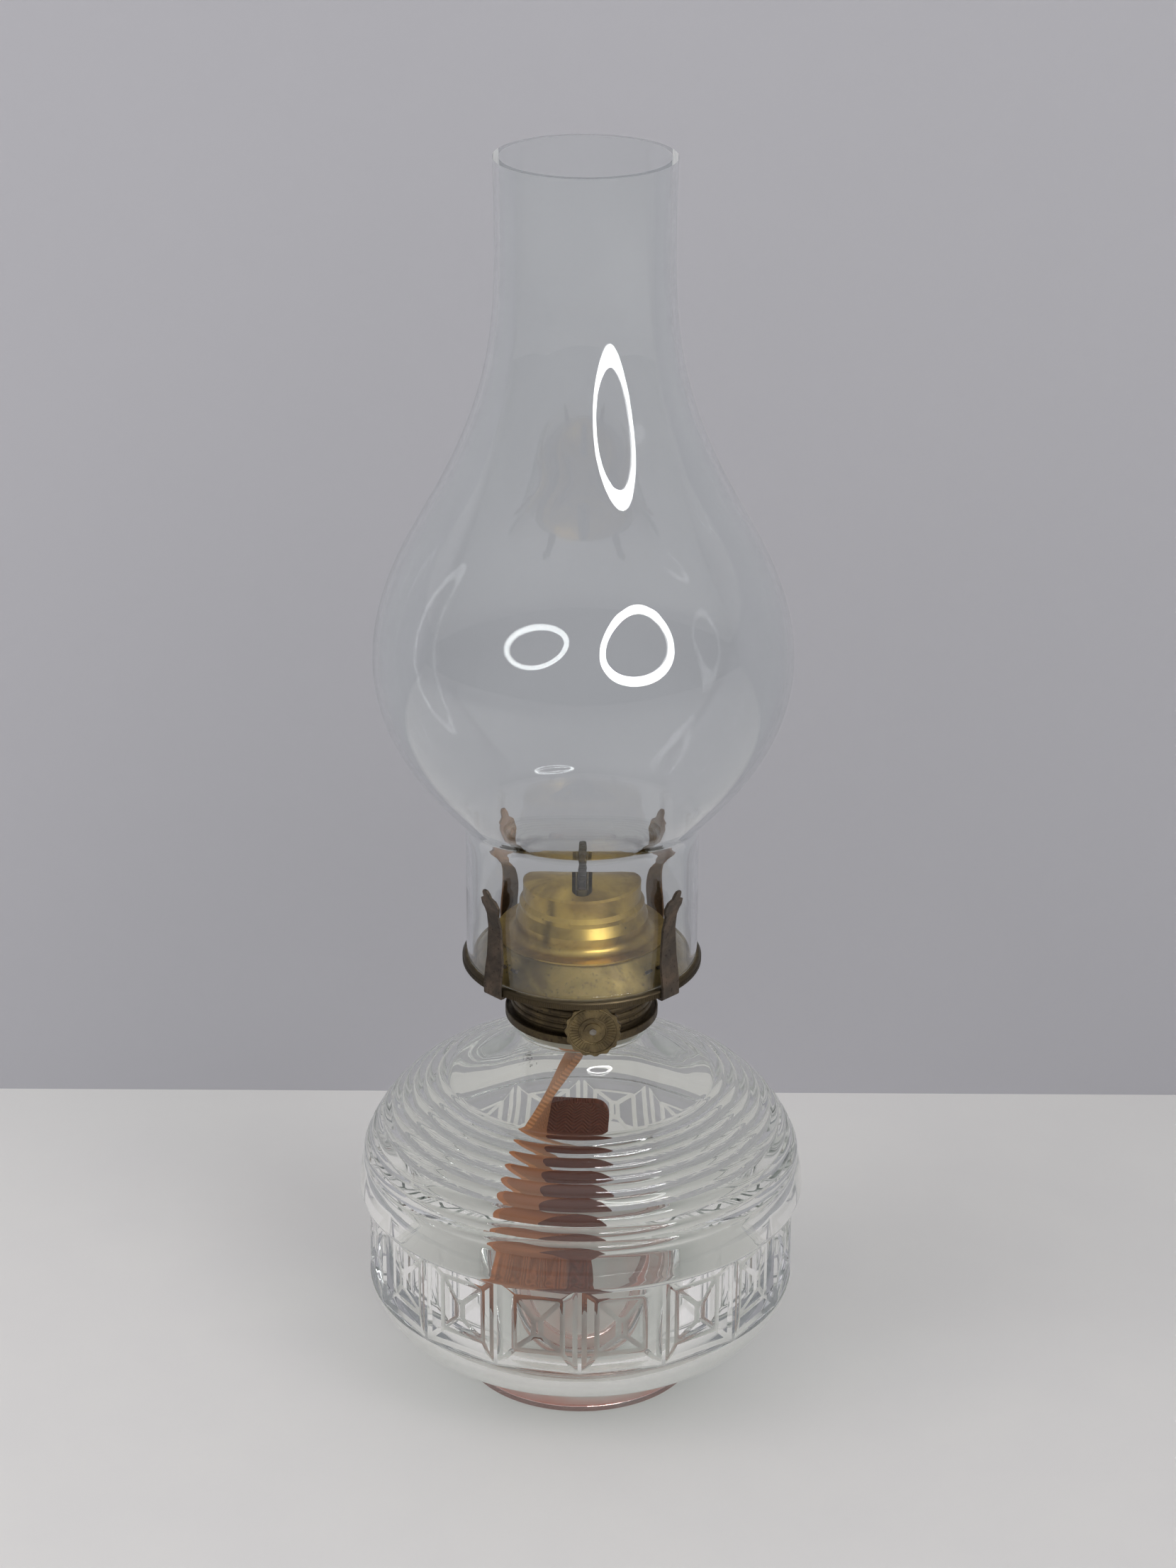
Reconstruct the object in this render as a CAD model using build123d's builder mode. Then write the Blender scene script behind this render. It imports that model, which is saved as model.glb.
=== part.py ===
"""Table oil lamp: pressed-glass font, flat-wick burner with four prongs, glass chimney.

Millimetres, +Z up. The origin is the centre of the foot, on the table. The front is -Y, where
the thumb wheel is. The wick's flat faces look along X.
"""
from build123d import *
from math import cos, radians, sin
import os

os.makedirs("parts", exist_ok=True)

# ---------------------------------------------------------------- driving dimensions
# Font, from the table up
FOOT_R = 40.0            # foot ring, outside
FOOT_RING = 6.0          # width of the ring that touches the table
FOOT_RECESS = 5.0        # hollow under the foot
FOOT_STEP = 2.0          # each of the foot's two steps
FOOT_H = 12.0            # table to the underside of the bowl
FLOOR = 8.0              # glass thickness above the recess
UNDERSIDE_H = 7.0        # rise of the underside from foot to roll
ROLL_H = 16.0            # roll moulding below the band
ROLL_SET_IN = 11.5       # how far the roll's lower edge lies inside the band
ROLL_OUT = 7.2           # fullest point of the roll, out from its lower edge
ROLL_UP = 6.7            # and up from it
ROLL_WALL = 6.0          # glass behind the roll's lower edge
BAND_H = 32.0            # band of square panels
BOWL_R = 75.0            # rim above the band, the widest place
RIM_OVERHANG = 3.0       # rim beyond the band's corners
RIM_ROUND = 2.0          # rounding of the rim's lower edge
PANEL_COUNT = 16
PANEL_MARGIN_W = 1.4     # land left beside each panel
PANEL_MARGIN_H = 2.2     # land left above and below it
PANEL_BEVEL = 4.6        # width of the sloping frame
PANEL_DEPTH = 1.8        # how deep the frame runs in
PYRAMID_H = 2.2          # raised pyramid in each panel
PYRAMID_TIP = 1.0
SHOULDER_R = 43.5        # radius of the convex shoulder
RIDGE_COUNT = 9
RIDGE_H = 0.9            # crown of each ridge
RIDGE_FROM = 72.5        # degrees up the shoulder where the ridges start
RIDGE_TO = 17.5          # and where they end
DOME_RISE = 18.0         # smooth dome between the ridges and the neck
DOME_SLOPE = 0.25        # how steeply the dome leaves the ridges
NECK_R = 22.0
NECK_H = 6.0
NECK_BEAD = 0.5          # bead round the neck's foot
NECK_BEAD_UP = 1.0
GLASS_WALL = 4.0         # shoulder and dome
BAND_WALL = 3.2          # thinnest glass behind a panel
NECK_WALL = 3.0
CAVITY_CORNER = 2.0      # the cavity's wall stands up from this far above the band's foot
CAVITY_TURN = 19.6       # and turns inwards this far above the rim
CAVITY_ANGLE = 55.0      # degrees up the shoulder where it meets the shoulder's curve

# Collar and the plaster under it
COLLAR_R = 25.4
COLLAR_SHEET = 0.8
COLLAR_BAND_H = 2.9
COLLAR_SKIRT = 1.1       # how far the band reaches below the top of the neck
PLASTER = 0.4            # bed on top of the neck
PLASTER_SHORT = 1.0      # it stops this far above the sleeve's end
THREAD_R = 15.9          # 1 1/4 in collar thread
THREAD_H = 8.4
THREAD_PITCH = 1.8
THREAD_DEPTH = 0.45
THREAD_START = 1.3       # first groove below the collar's top
THREAD_FIT = 0.05        # burner's thread to the collar's

# Burner
SHEET = 0.7              # brass sheet
MALE_WALL = 0.85         # threaded sleeve of the cup
CUP_R = 23.2
CUP_H = 12.3
CUP_RIDGES = 4
CUP_RIDGE_PITCH = 2.5
CUP_RIDGE_H = 0.45
CUP_RIDGE_GAP = 0.5      # land between two ridges
CUP_RIDGE_FIRST = 3.0    # first ridge above the collar
BASKET_TOP_R = 26.2
BASKET_HOLE_R = 1.3
BASKET_HOLES = 24
BASKET_ROWS = 2
VENT_R = 1.0             # vent hole in the base disc
VENT_GAP = 2.0           # vent hole to the wick tube
SEAT_H = 20.3            # collar to the chimney's seat
PLATE_R = 39.4
PLATE_RIM_H = 2.6
SEAT_INNER_R = 35.5      # where the plate starts to rise
PLATE_RISE = 8.0
PLATE_TOP_R = 28.6
AIR_HOLE_R = 22.4        # opening in the plate, under the cone
BEND_R = 0.4             # bends in the plate

# Cone, heights above its own seat
CONE_SHEET = 0.6
CONE_FLANGE_R = 28.2
CONE_SKIRT_R = 21.8
CONE_STEP_R = 20.6
CONE_BAND_R = 19.4
CONE_TAPER_FROM = 6.0    # the skirt narrows from here
CONE_TAPER_TO = 9.5      # to here
CONE_STEP_H = 11.0
CONE_LEDGE = 1.4         # rise of the ledge above the step
CONE_BAND_H = 18.6
CONE_EDGE = 0.7          # bevel at the band's top
CONE_TOP_H = 22.0
CONE_FLARE = 2.6         # curve from skirt to flange
SLOT_W = 6.5
SLOT_HALF = 16.5

# Wick, its tube and the raiser
WICK_W = 25.4            # 1 in wick
WICK_T = 2.8
WICK_ROUND = 0.5
WICK_FIT = 0.2           # wick to tube, each side
TUBE_WALL = 0.5
TUBE_BELOW = 7.0         # tube below the base disc
TUBE_SHY = 1.2           # tube top below the cone's top
WICK_SHOWS = 4.6         # wick above the cone
WICK_BELOW = 8.0         # straight wick below the collar's top
SHAFT_R = 1.1
SHAFT_H = 7.3            # shaft above the collar
SHAFT_FIT = 0.05
STAR_R = 2.3             # tips of the star wheels
STAR_ROOT_R = 1.6
STAR_TEETH = 10
STAR_T = 2.0
STAR_SPACING = 13.0
STAR_GAP = 0.1           # tooth tips to wick
WINDOW_FIT = 0.4         # star wheel to the tube's window
BUSHING_R = 2.4
BUSHING_OUT = 1.2        # bushing proud of the cup
BUSHING_IN = 2.6         # its inner end, in from the cup's face
BEARING_T = 1.0
BEARING_Y = 10.5
SHAFT_PAST = 0.8         # shaft beyond the bearing
SHAFT_PROUD = 0.4        # shaft beyond the thumb wheel's boss
CLIP_R = 1.9
CLIP_T = 0.8
WHEEL_R = 9.2
WHEEL_T = 1.5
WHEEL_GAP = 7.0          # thumb wheel beyond the collar
WHEEL_SCALLOPS = 15
WHEEL_SCALLOP_R = 2.4
WHEEL_SCALLOP_DEPTH = 0.55
WHEEL_BOSS_R = 2.9
WHEEL_BOSS_H = 0.4

# Prongs
PRONG_T = 0.9
PRONG_W = 7.5
PRONG_GAP = 0.3          # prong to glass
ROOT_GAP = 0.3           # prong's root to the plate
ROOT_PAST = 1.2          # root beyond its lugs
ROOT_RUN = 2.0           # level stretch of the root under the seat
HOOK_GAP = 0.2           # hook to the plate's rim
HOOK_W = 2.6             # level stretch of the hook under the rim
PRONG_FRONT = 46.0       # degrees from the front, either side
PRONG_BACK = 41.0        # degrees from the back, either side
PRONG_H = 35.5           # above the seat
PRONG_FLARE = 4.2        # tip beyond the straight part
LUG_W = 2.2
LUG_H = 1.1
LUG_FIT = 0.1            # lug to its slot

# Chimney, heights above its seat
CHIMNEY_H = 267.0
FITTER_R = 38.1          # 3 in base
FITTER_H = 48.0
BULGE_R = 67.5
BULGE_H = 104.0
CHIMNEY_NECK_R = 28.1
CHIMNEY_NECK_H = 232.0
CHIMNEY_MOUTH_R = 28.4
CHIMNEY_WALL = 2.0

# Wick tail in the font
TAIL_LEFT = 26.0         # how far it leans to the left
TAIL_RIGHT = 24.0        # how far its curl comes back to the right
TAIL_RAISE = 1.0         # above the font's floor
TAIL_STRAIGHT = 5.0      # straight part below the wick
TAIL_SLANT = 35.0        # height of the slant to the left
TAIL_BELLY = 40.0        # leftmost point above the lowest
TAIL_TURN = 14.0         # where it turns along the floor
TAIL_CURL = 18.0         # height of the curled end

CUT = 1.0                # cuts run this far past a face

# ---------------------------------------------------------------- levels and radii
floor_z = FOOT_RECESS + FLOOR
roll_z = FOOT_H + UNDERSIDE_H
band_z = roll_z + ROLL_H
rim_z = band_z + BAND_H
shoulder_x = BOWL_R - SHOULDER_R
band_r = BOWL_R - RIM_OVERHANG
band_flat_r = band_r * cos(radians(180 / PANEL_COUNT))
roll_r = band_r - ROLL_SET_IN
cavity_r = band_flat_r - PANEL_DEPTH - BAND_WALL
neck_z = rim_z + SHOULDER_R * sin(radians(RIDGE_FROM)) + DOME_RISE
neck_top = neck_z + NECK_H
neck_bore = NECK_R - NECK_WALL
collar_top = neck_top + PLASTER + COLLAR_SHEET
shelf_top = collar_top + SHEET
cup_top = collar_top + CUP_H
shaft_z = collar_top + SHAFT_H
seat_z = collar_top + SEAT_H
cone_z = seat_z + PLATE_RISE
cone_top = cone_z + CONE_TOP_H
shaft_x = WICK_T / 2 + STAR_GAP + STAR_R
tube_half_t = WICK_T / 2 + WICK_FIT + TUBE_WALL
tube_half_w = WICK_W / 2 + WICK_FIT + TUBE_WALL
thumb_y = -(COLLAR_R + WHEEL_GAP)
prong_r = FITTER_R + PRONG_GAP + PRONG_T / 2


def save(piece, name):
    """Label a finished piece and write it to its own file."""
    piece.label = name
    export_step(piece, f"parts/{name}.step")


def shoulder(radius, angle):
    """Point on the font's shoulder, or on a curve parallel to it."""
    return (shoulder_x + radius * cos(radians(angle)), rim_z + radius * sin(radians(angle)))


def radial(azimuth):
    """Upright plane through the axis: its x is the radius and its y is the height."""
    out = Vector(sin(radians(azimuth)), -cos(radians(azimuth)), 0)
    return Plane(origin=(0, 0, 0), x_dir=out, z_dir=out.cross(Vector(0, 0, 1)))


# ---------------------------------------------------------------- font
def font_panel():
    """The sunk frame of one panel, less the pyramid that stands in it, at the front."""
    face = Plane(origin=(0, -band_flat_r, band_z + BAND_H / 2), x_dir=(1, 0, 0), z_dir=(0, -1, 0))
    width = 2 * band_flat_r * sin(radians(180 / PANEL_COUNT)) - 2 * PANEL_MARGIN_W
    height = BAND_H - 2 * PANEL_MARGIN_H
    inner_w = width - 2 * PANEL_BEVEL
    inner_h = height - 2 * PANEL_BEVEL
    with BuildPart() as frame_cut:
        with BuildSketch(face):
            Rectangle(width, height)
        with BuildSketch(face.offset(-PANEL_DEPTH)):
            Rectangle(inner_w, inner_h)
        loft()
    with BuildPart() as pyramid:
        with BuildSketch(face.offset(-PANEL_DEPTH)):
            Rectangle(inner_w, inner_h)
        with BuildSketch(face.offset(PYRAMID_H - PANEL_DEPTH)):
            Rectangle(PYRAMID_TIP, PYRAMID_TIP + inner_h - inner_w)
        loft()
    return frame_cut.part, pyramid.part


def font_outline():
    """Closed half-section of the font's outside, from the axis round to the neck."""
    foot_in = FOOT_R - FOOT_RING
    step = (RIDGE_FROM - RIDGE_TO) / RIDGE_COUNT
    with BuildLine() as outline:
        Polyline((0, FOOT_RECESS), (foot_in, FOOT_RECESS), (foot_in, 0), (FOOT_R, 0),
                 (FOOT_R, FOOT_H / 3), (FOOT_R + FOOT_STEP, FOOT_H / 3),
                 (FOOT_R + FOOT_STEP, 2 * FOOT_H / 3), (FOOT_R + 2 * FOOT_STEP, FOOT_H))
        Line((FOOT_R + 2 * FOOT_STEP, FOOT_H), (roll_r, roll_z))
        ThreePointArc((roll_r, roll_z), (roll_r + ROLL_OUT, roll_z + ROLL_UP), (band_r, band_z))
        Line((band_r, band_z), (band_r, rim_z))
        ThreePointArc((band_r, rim_z), (BOWL_R - RIM_ROUND / 5, rim_z + RIM_ROUND / 4),
                      (BOWL_R, rim_z + RIM_ROUND))
        Spline((BOWL_R, rim_z + RIM_ROUND), shoulder(SHOULDER_R, RIDGE_TO / 2),
               shoulder(SHOULDER_R, RIDGE_TO),
               tangents=((0, 1), (-sin(radians(RIDGE_TO)), cos(radians(RIDGE_TO)))))
        for ridge in range(RIDGE_COUNT):
            low = RIDGE_TO + ridge * step
            ThreePointArc(shoulder(SHOULDER_R, low), shoulder(SHOULDER_R + RIDGE_H, low + step / 2),
                          shoulder(SHOULDER_R, low + step))
        Spline(shoulder(SHOULDER_R, RIDGE_FROM), (NECK_R, neck_z),
               tangents=((-1, DOME_SLOPE), (0, 1)))
        Line((NECK_R, neck_z), (NECK_R, neck_top))
        Polyline((NECK_R, neck_top), (0, neck_top), (0, FOOT_RECESS))
    return outline.line


def cavity_outline():
    """Closed half-section of the font's inside."""
    inner = SHOULDER_R - GLASS_WALL
    corner = shoulder(inner, RIDGE_FROM)
    turn = (cavity_r, rim_z + CAVITY_TURN)
    with BuildLine() as outline:
        Line((0, floor_z), (FOOT_R - GLASS_WALL, floor_z))
        Spline((FOOT_R - GLASS_WALL, floor_z), (roll_r - ROLL_WALL, roll_z + ROLL_WALL / 4),
               (cavity_r, band_z + CAVITY_CORNER), tangents=((1, 0.1), (0, 1)))
        Line((cavity_r, band_z + CAVITY_CORNER), turn)
        Spline(turn, shoulder(inner, CAVITY_ANGLE), corner, tangents=((0, 1), (-1, DOME_SLOPE)))
        Spline(corner, (neck_bore, neck_z), tangents=((-1, DOME_SLOPE), (0, 1)))
        Polyline((neck_bore, neck_z), (neck_bore, neck_top + CUT), (0, neck_top + CUT), (0, floor_z))
    return outline.line


panel_cut, panel_pyramid = font_panel()

with BuildPart() as font_glass:
    with BuildSketch(Plane.XZ):
        add(font_outline())
        make_face()
    revolve(axis=Axis.Z)
    with BuildSketch(Plane.XY.offset(band_z)):
        Circle(band_r + CUT)
        RegularPolygon(radius=band_r, side_count=PANEL_COUNT, rotation=-90, mode=Mode.SUBTRACT)
    extrude(amount=BAND_H, mode=Mode.SUBTRACT)
    with PolarLocations(0, PANEL_COUNT, start_angle=180 / PANEL_COUNT):
        add(panel_cut, mode=Mode.SUBTRACT)
    with PolarLocations(0, PANEL_COUNT, start_angle=180 / PANEL_COUNT):
        add(panel_pyramid)
    with BuildSketch(Plane.XZ):
        with Locations((NECK_R, neck_z + NECK_BEAD_UP)):
            Circle(NECK_BEAD)
    revolve(axis=Axis.Z)
    with BuildSketch(Plane.XZ):
        add(cavity_outline())
        make_face()
    revolve(axis=Axis.Z, mode=Mode.SUBTRACT)
save(font_glass.part, "font_glass")


# ---------------------------------------------------------------- collar and plaster
sleeve_r = THREAD_R + THREAD_DEPTH + COLLAR_SHEET
sleeve_z = collar_top - THREAD_H
band_bottom = neck_top - COLLAR_SKIRT
thread_turns = int((THREAD_H - THREAD_START - THREAD_DEPTH) / THREAD_PITCH) + 1
thread_zs = [collar_top - THREAD_START - THREAD_PITCH * turn for turn in range(thread_turns)]
thread_grooves = [(THREAD_R, groove_z) for groove_z in thread_zs]

with BuildPart() as collar:
    with BuildSketch(Plane.XZ):
        with Locations(((THREAD_R + THREAD_FIT + sleeve_r) / 2, (sleeve_z + collar_top) / 2)):
            Rectangle(sleeve_r - THREAD_R - THREAD_FIT, THREAD_H)
        with Locations(((sleeve_r + COLLAR_R) / 2, collar_top - COLLAR_SHEET / 2)):
            Rectangle(COLLAR_R - sleeve_r, COLLAR_SHEET)
        with Locations((COLLAR_R - COLLAR_SHEET / 2, band_bottom + COLLAR_BAND_H / 2)):
            RectangleRounded(COLLAR_SHEET, COLLAR_BAND_H, 0.45 * COLLAR_SHEET)
        with Locations(*thread_grooves):
            Circle(THREAD_DEPTH, mode=Mode.SUBTRACT)
    revolve(axis=Axis.Z)
save(collar.part, "collar")

with BuildPart() as collar_plaster:
    with BuildSketch(Plane.XZ):
        with BuildLine():
            Polyline((sleeve_r, sleeve_z + PLASTER_SHORT), (neck_bore, sleeve_z + PLASTER_SHORT),
                     (neck_bore, neck_top), (NECK_R, neck_top), (NECK_R, band_bottom + PLASTER),
                     (COLLAR_R - COLLAR_SHEET, band_bottom + PLASTER),
                     (COLLAR_R - COLLAR_SHEET, collar_top - COLLAR_SHEET),
                     (sleeve_r, collar_top - COLLAR_SHEET), close=True)
        make_face()
    revolve(axis=Axis.Z)
save(collar_plaster.part, "collar_plaster")

# ---------------------------------------------------------------- burner body
male_r = THREAD_R - MALE_WALL
ridge_zs = [collar_top + CUP_RIDGE_FIRST + CUP_RIDGE_PITCH * ridge for ridge in range(CUP_RIDGES)]

with BuildPart() as burner_cup:
    with BuildSketch(Plane.XZ):
        with Locations((CUP_R - SHEET / 2, (collar_top + cup_top) / 2)):
            Rectangle(SHEET, CUP_H)
        with Locations(((CUP_R + male_r) / 2, collar_top + SHEET / 2)):
            Rectangle(CUP_R - male_r, SHEET)
        with Locations(*[(CUP_R, ridge_z) for ridge_z in ridge_zs]):
            Ellipse(CUP_RIDGE_H, (CUP_RIDGE_PITCH - CUP_RIDGE_GAP) / 2)
        with Locations((THREAD_R - MALE_WALL / 2, collar_top - THREAD_H / 2)):
            Rectangle(MALE_WALL, THREAD_H)
        with Locations(*thread_grooves):
            Circle(THREAD_DEPTH, mode=Mode.SUBTRACT)
    revolve(axis=Axis.Z)
    with BuildSketch(Plane.XZ):
        with Locations((shaft_x, shaft_z)):
            Circle(BUSHING_R)
    extrude(amount=CUP_R + CUT, mode=Mode.SUBTRACT)
save(burner_cup.part, "burner_cup")

with BuildPart() as base_disc:
    with BuildSketch(Plane.XY.offset(shelf_top)):
        Circle(CUP_R - SHEET)
        RectangleRounded(2 * tube_half_t, 2 * tube_half_w, 2 * TUBE_WALL, mode=Mode.SUBTRACT)
        with Locations((-(tube_half_t + VENT_GAP + VENT_R), 0)):
            Circle(VENT_R, mode=Mode.SUBTRACT)
    extrude(amount=SHEET)
save(base_disc.part, "base_disc")

plate_under = seat_z + PLATE_RISE - SHEET
with BuildPart() as air_basket:
    with BuildSketch(Plane.XZ):
        with BuildLine():
            Polyline((CUP_R - SHEET, cup_top), (CUP_R, cup_top), (BASKET_TOP_R, plate_under),
                     (BASKET_TOP_R - SHEET, plate_under), close=True)
        make_face()
    revolve(axis=Axis.Z)
    row_pitch = (plate_under - cup_top) / (BASKET_ROWS + 1)
    for row in range(BASKET_ROWS):
        with BuildSketch(Plane.XZ):
            with Locations((0, cup_top + row_pitch * (row + 1))):
                Circle(BASKET_HOLE_R)
        holes = extrude(amount=BASKET_TOP_R + CUT, mode=Mode.PRIVATE)
        with PolarLocations(0, BASKET_HOLES, start_angle=180 / BASKET_HOLES * row):
            add(holes, mode=Mode.SUBTRACT)
save(air_basket.part, "air_basket")

# ---------------------------------------------------------------- gallery plate and prongs
slope = Vector(SEAT_INNER_R - PLATE_TOP_R, -PLATE_RISE, 0).normalized()
slope_out = Vector(-slope.Y, slope.X, 0)
lug_r = (SEAT_INNER_R + PLATE_TOP_R) / 2
lug_z = seat_z + PLATE_RISE / 2
azimuths = {"front_left": -PRONG_FRONT, "front_right": PRONG_FRONT,
            "back_left": PRONG_BACK - 180, "back_right": 180 - PRONG_BACK}


def lug_plane(azimuth):
    """Plane on the plate's slope at one prong: x runs round the plate, z stands off the slope."""
    side = radial(azimuth)
    origin = side.from_local_coords(Vector(lug_r, lug_z, 0))
    normal = side.from_local_coords(slope_out)
    return Plane(origin=origin, x_dir=side.z_dir, z_dir=normal)


under = SHEET * (1 - slope_out.Y) / slope_out.X
top_in = seat_z + PLATE_RISE - SHEET

with BuildPart() as gallery_plate:
    with BuildSketch(Plane.XZ):
        with BuildLine():
            FilletPolyline((AIR_HOLE_R, top_in), (PLATE_TOP_R - under, top_in),
                           (SEAT_INNER_R - under, seat_z - SHEET), (PLATE_R - SHEET, seat_z - SHEET),
                           (PLATE_R - SHEET, seat_z - PLATE_RIM_H), radius=BEND_R)
            offset(amount=SHEET, side=Side.LEFT, kind=Kind.ARC)
        make_face()
    revolve(axis=Axis.Z)
    for azimuth in azimuths.values():
        with BuildSketch(lug_plane(azimuth)):
            with GridLocations(PRONG_W - LUG_W, 0, 2, 1):
                Rectangle(LUG_W + 2 * LUG_FIT, PRONG_T + 2 * LUG_FIT)
        extrude(amount=2 * SHEET, both=True, mode=Mode.SUBTRACT)
save(gallery_plate.part, "gallery_plate")


def prong(azimuth):
    """One prong: a root under the plate, a hook round its rim, and a strip up the glass."""
    sunk = SHEET + ROOT_GAP + PRONG_T
    root = Vector(lug_r, lug_z, 0) - slope * ROOT_PAST - slope_out * sunk
    corner_r = SEAT_INNER_R - sunk * (1 - slope_out.Y) / slope_out.X
    hook_z = seat_z - PLATE_RIM_H - HOOK_GAP - PRONG_T
    outer = prong_r + PRONG_T / 2
    hook_r = PLATE_R + HOOK_GAP + PRONG_T
    half = PRONG_W / 2
    low = PLATE_RIM_H + HOOK_GAP + PRONG_T + CUT
    outward = radial(azimuth)
    with BuildPart() as strip:
        with BuildSketch(outward):
            with BuildLine():
                FilletPolyline((root.X, root.Y), (corner_r, seat_z - sunk),
                               (corner_r + ROOT_RUN, seat_z - sunk),
                               (hook_r - HOOK_W, hook_z), (hook_r, hook_z), (hook_r, seat_z + PRONG_T),
                               (outer, seat_z + 0.28 * PRONG_H), (outer, seat_z + 0.58 * PRONG_H),
                               (outer + 0.3 * PRONG_FLARE, seat_z + 0.78 * PRONG_H),
                               (outer + PRONG_FLARE, seat_z + PRONG_H), radius=PRONG_T + HOOK_GAP / 2)
                offset(amount=PRONG_T, side=Side.LEFT, kind=Kind.ARC)
            make_face()
        extrude(amount=PRONG_W / 2, both=True)
        with BuildSketch(Plane(origin=(0, 0, seat_z), x_dir=-outward.z_dir, z_dir=outward.x_dir)):
            with BuildLine():
                Polyline((0, -low), (half, -low), (half, 0.2 * PRONG_H), (0.66 * half, 0.72 * PRONG_H),
                         (0.98 * half, 0.82 * PRONG_H), (0.86 * half, 0.89 * PRONG_H),
                         (0.40 * half, 0.92 * PRONG_H), (0.36 * half, 0.97 * PRONG_H),
                         (0.18 * half, PRONG_H), (0, PRONG_H))
                mirror(about=Plane.YZ)
            make_face()
        extrude(amount=prong_r + PRONG_T + PRONG_FLARE + CUT, mode=Mode.INTERSECT)
        with BuildSketch(lug_plane(azimuth).offset(-SHEET - ROOT_GAP)):
            with GridLocations(PRONG_W - LUG_W, 0, 2, 1):
                Rectangle(LUG_W, PRONG_T)
        extrude(amount=SHEET + ROOT_GAP + LUG_H)
    return strip.part


for place, azimuth in azimuths.items():
    save(prong(azimuth), f"prong_{place}")


# ---------------------------------------------------------------- cone
def cone_outline(inset):
    """Closed half-section under the cone's outer skin, or under its inner skin."""
    skirt = CONE_SKIRT_R - inset
    step = CONE_STEP_R - inset
    band = CONE_BAND_R - inset
    low = cone_z + CONE_SHEET - inset
    top = cone_top - inset
    edge = (band - CONE_EDGE, cone_z + CONE_BAND_H - inset / 2)
    with BuildLine() as outline:
        Polyline((0, top), (0, low), (skirt + CONE_FLARE, low))
        ThreePointArc((skirt + CONE_FLARE, low), (skirt + 0.3 * CONE_FLARE, low + 0.3 * CONE_FLARE),
                      (skirt, low + CONE_FLARE))
        Polyline((skirt, low + CONE_FLARE), (skirt, cone_z + CONE_TAPER_FROM),
                 (step, cone_z + CONE_TAPER_TO), (step, cone_z + CONE_STEP_H),
                 (band, cone_z + CONE_STEP_H + CONE_LEDGE - inset / 2),
                 (band, cone_z + CONE_BAND_H - CONE_EDGE), edge)
        TangentArc((0, top), edge, tangent=(1, 0))
    return outline.line


with BuildPart() as cone:
    with BuildSketch(Plane.XZ):
        add(cone_outline(0))
        make_face()
    revolve(axis=Axis.Z)
    with BuildSketch(Plane.XY.offset(cone_z)):
        Circle(CONE_FLANGE_R)
    extrude(amount=CONE_SHEET)
    with BuildSketch(Plane.XZ):
        add(cone_outline(CONE_SHEET))
        make_face()
    revolve(axis=Axis.Z, mode=Mode.SUBTRACT)
    with BuildSketch(Plane.XY.offset(cone_z + CONE_STEP_H)):
        SlotOverall(2 * SLOT_HALF, SLOT_W, rotation=90)
    extrude(amount=CONE_TOP_H, mode=Mode.SUBTRACT)
save(cone.part, "cone")

# ---------------------------------------------------------------- wick tube and raiser
star_ys = (-STAR_SPACING / 2, STAR_SPACING / 2)
tube_bottom = shelf_top - TUBE_BELOW
tube_top = cone_top - CONE_SHEET - TUBE_SHY

with BuildPart() as wick_tube:
    with BuildSketch(Plane.XY.offset(tube_bottom)):
        RectangleRounded(2 * tube_half_t, 2 * tube_half_w, 2 * TUBE_WALL)
        RectangleRounded(WICK_T + 2 * WICK_FIT, WICK_W + 2 * WICK_FIT, TUBE_WALL, mode=Mode.SUBTRACT)
    extrude(amount=tube_top - tube_bottom)
    with BuildSketch(Plane.YZ):
        with Locations(*[(star_y, shaft_z) for star_y in star_ys]):
            Rectangle(STAR_T + 2 * WINDOW_FIT, 2 * (STAR_R + WINDOW_FIT))
    extrude(amount=2 * tube_half_t, mode=Mode.SUBTRACT)
save(wick_tube.part, "wick_tube")

on_shaft = Plane.XZ.shift_origin((shaft_x, 0, shaft_z))
bushing_in = CUP_R - BUSHING_IN
shaft_back = BEARING_Y + BEARING_T + SHAFT_PAST

with BuildPart() as shaft_bushing:
    with BuildSketch(on_shaft.offset(bushing_in)):
        Circle(BUSHING_R)
        Circle(SHAFT_R + SHAFT_FIT, mode=Mode.SUBTRACT)
    extrude(amount=CUP_R + BUSHING_OUT - bushing_in)
save(shaft_bushing.part, "shaft_bushing")

with BuildPart() as shaft_bearing:
    with BuildSketch(on_shaft.offset(-BEARING_Y - BEARING_T)):
        with Locations(((tube_half_t - shaft_x + BUSHING_R) / 2, 0)):
            Rectangle(BUSHING_R + shaft_x - tube_half_t, 2 * BUSHING_R)
        Circle(SHAFT_R + SHAFT_FIT, mode=Mode.SUBTRACT)
    extrude(amount=BEARING_T)
save(shaft_bearing.part, "shaft_bearing")

with BuildPart() as wick_shaft:
    with BuildSketch(on_shaft.offset(-shaft_back)):
        Circle(SHAFT_R)
    extrude(amount=shaft_back - thumb_y + WHEEL_T + WHEEL_BOSS_H + SHAFT_PROUD)
save(wick_shaft.part, "wick_shaft")


def star_wheel(star_y):
    """A toothed wheel on the shaft, which bites the wick through a window in its tube."""
    tooth = 360 / STAR_TEETH
    points = []
    for index in range(STAR_TEETH):
        for radius, turn in ((STAR_R, 0), (STAR_ROOT_R, tooth / 2)):
            angle = radians(180 + index * tooth + turn)
            points.append((radius * cos(angle), radius * sin(angle)))
    with BuildPart() as star:
        with BuildSketch(on_shaft.offset(-star_y - STAR_T / 2)):
            Polygon(*points, align=None)
            Circle(SHAFT_R, mode=Mode.SUBTRACT)
        extrude(amount=STAR_T)
    return star.part


save(star_wheel(star_ys[0]), "star_wheel_front")
save(star_wheel(star_ys[1]), "star_wheel_rear")

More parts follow.
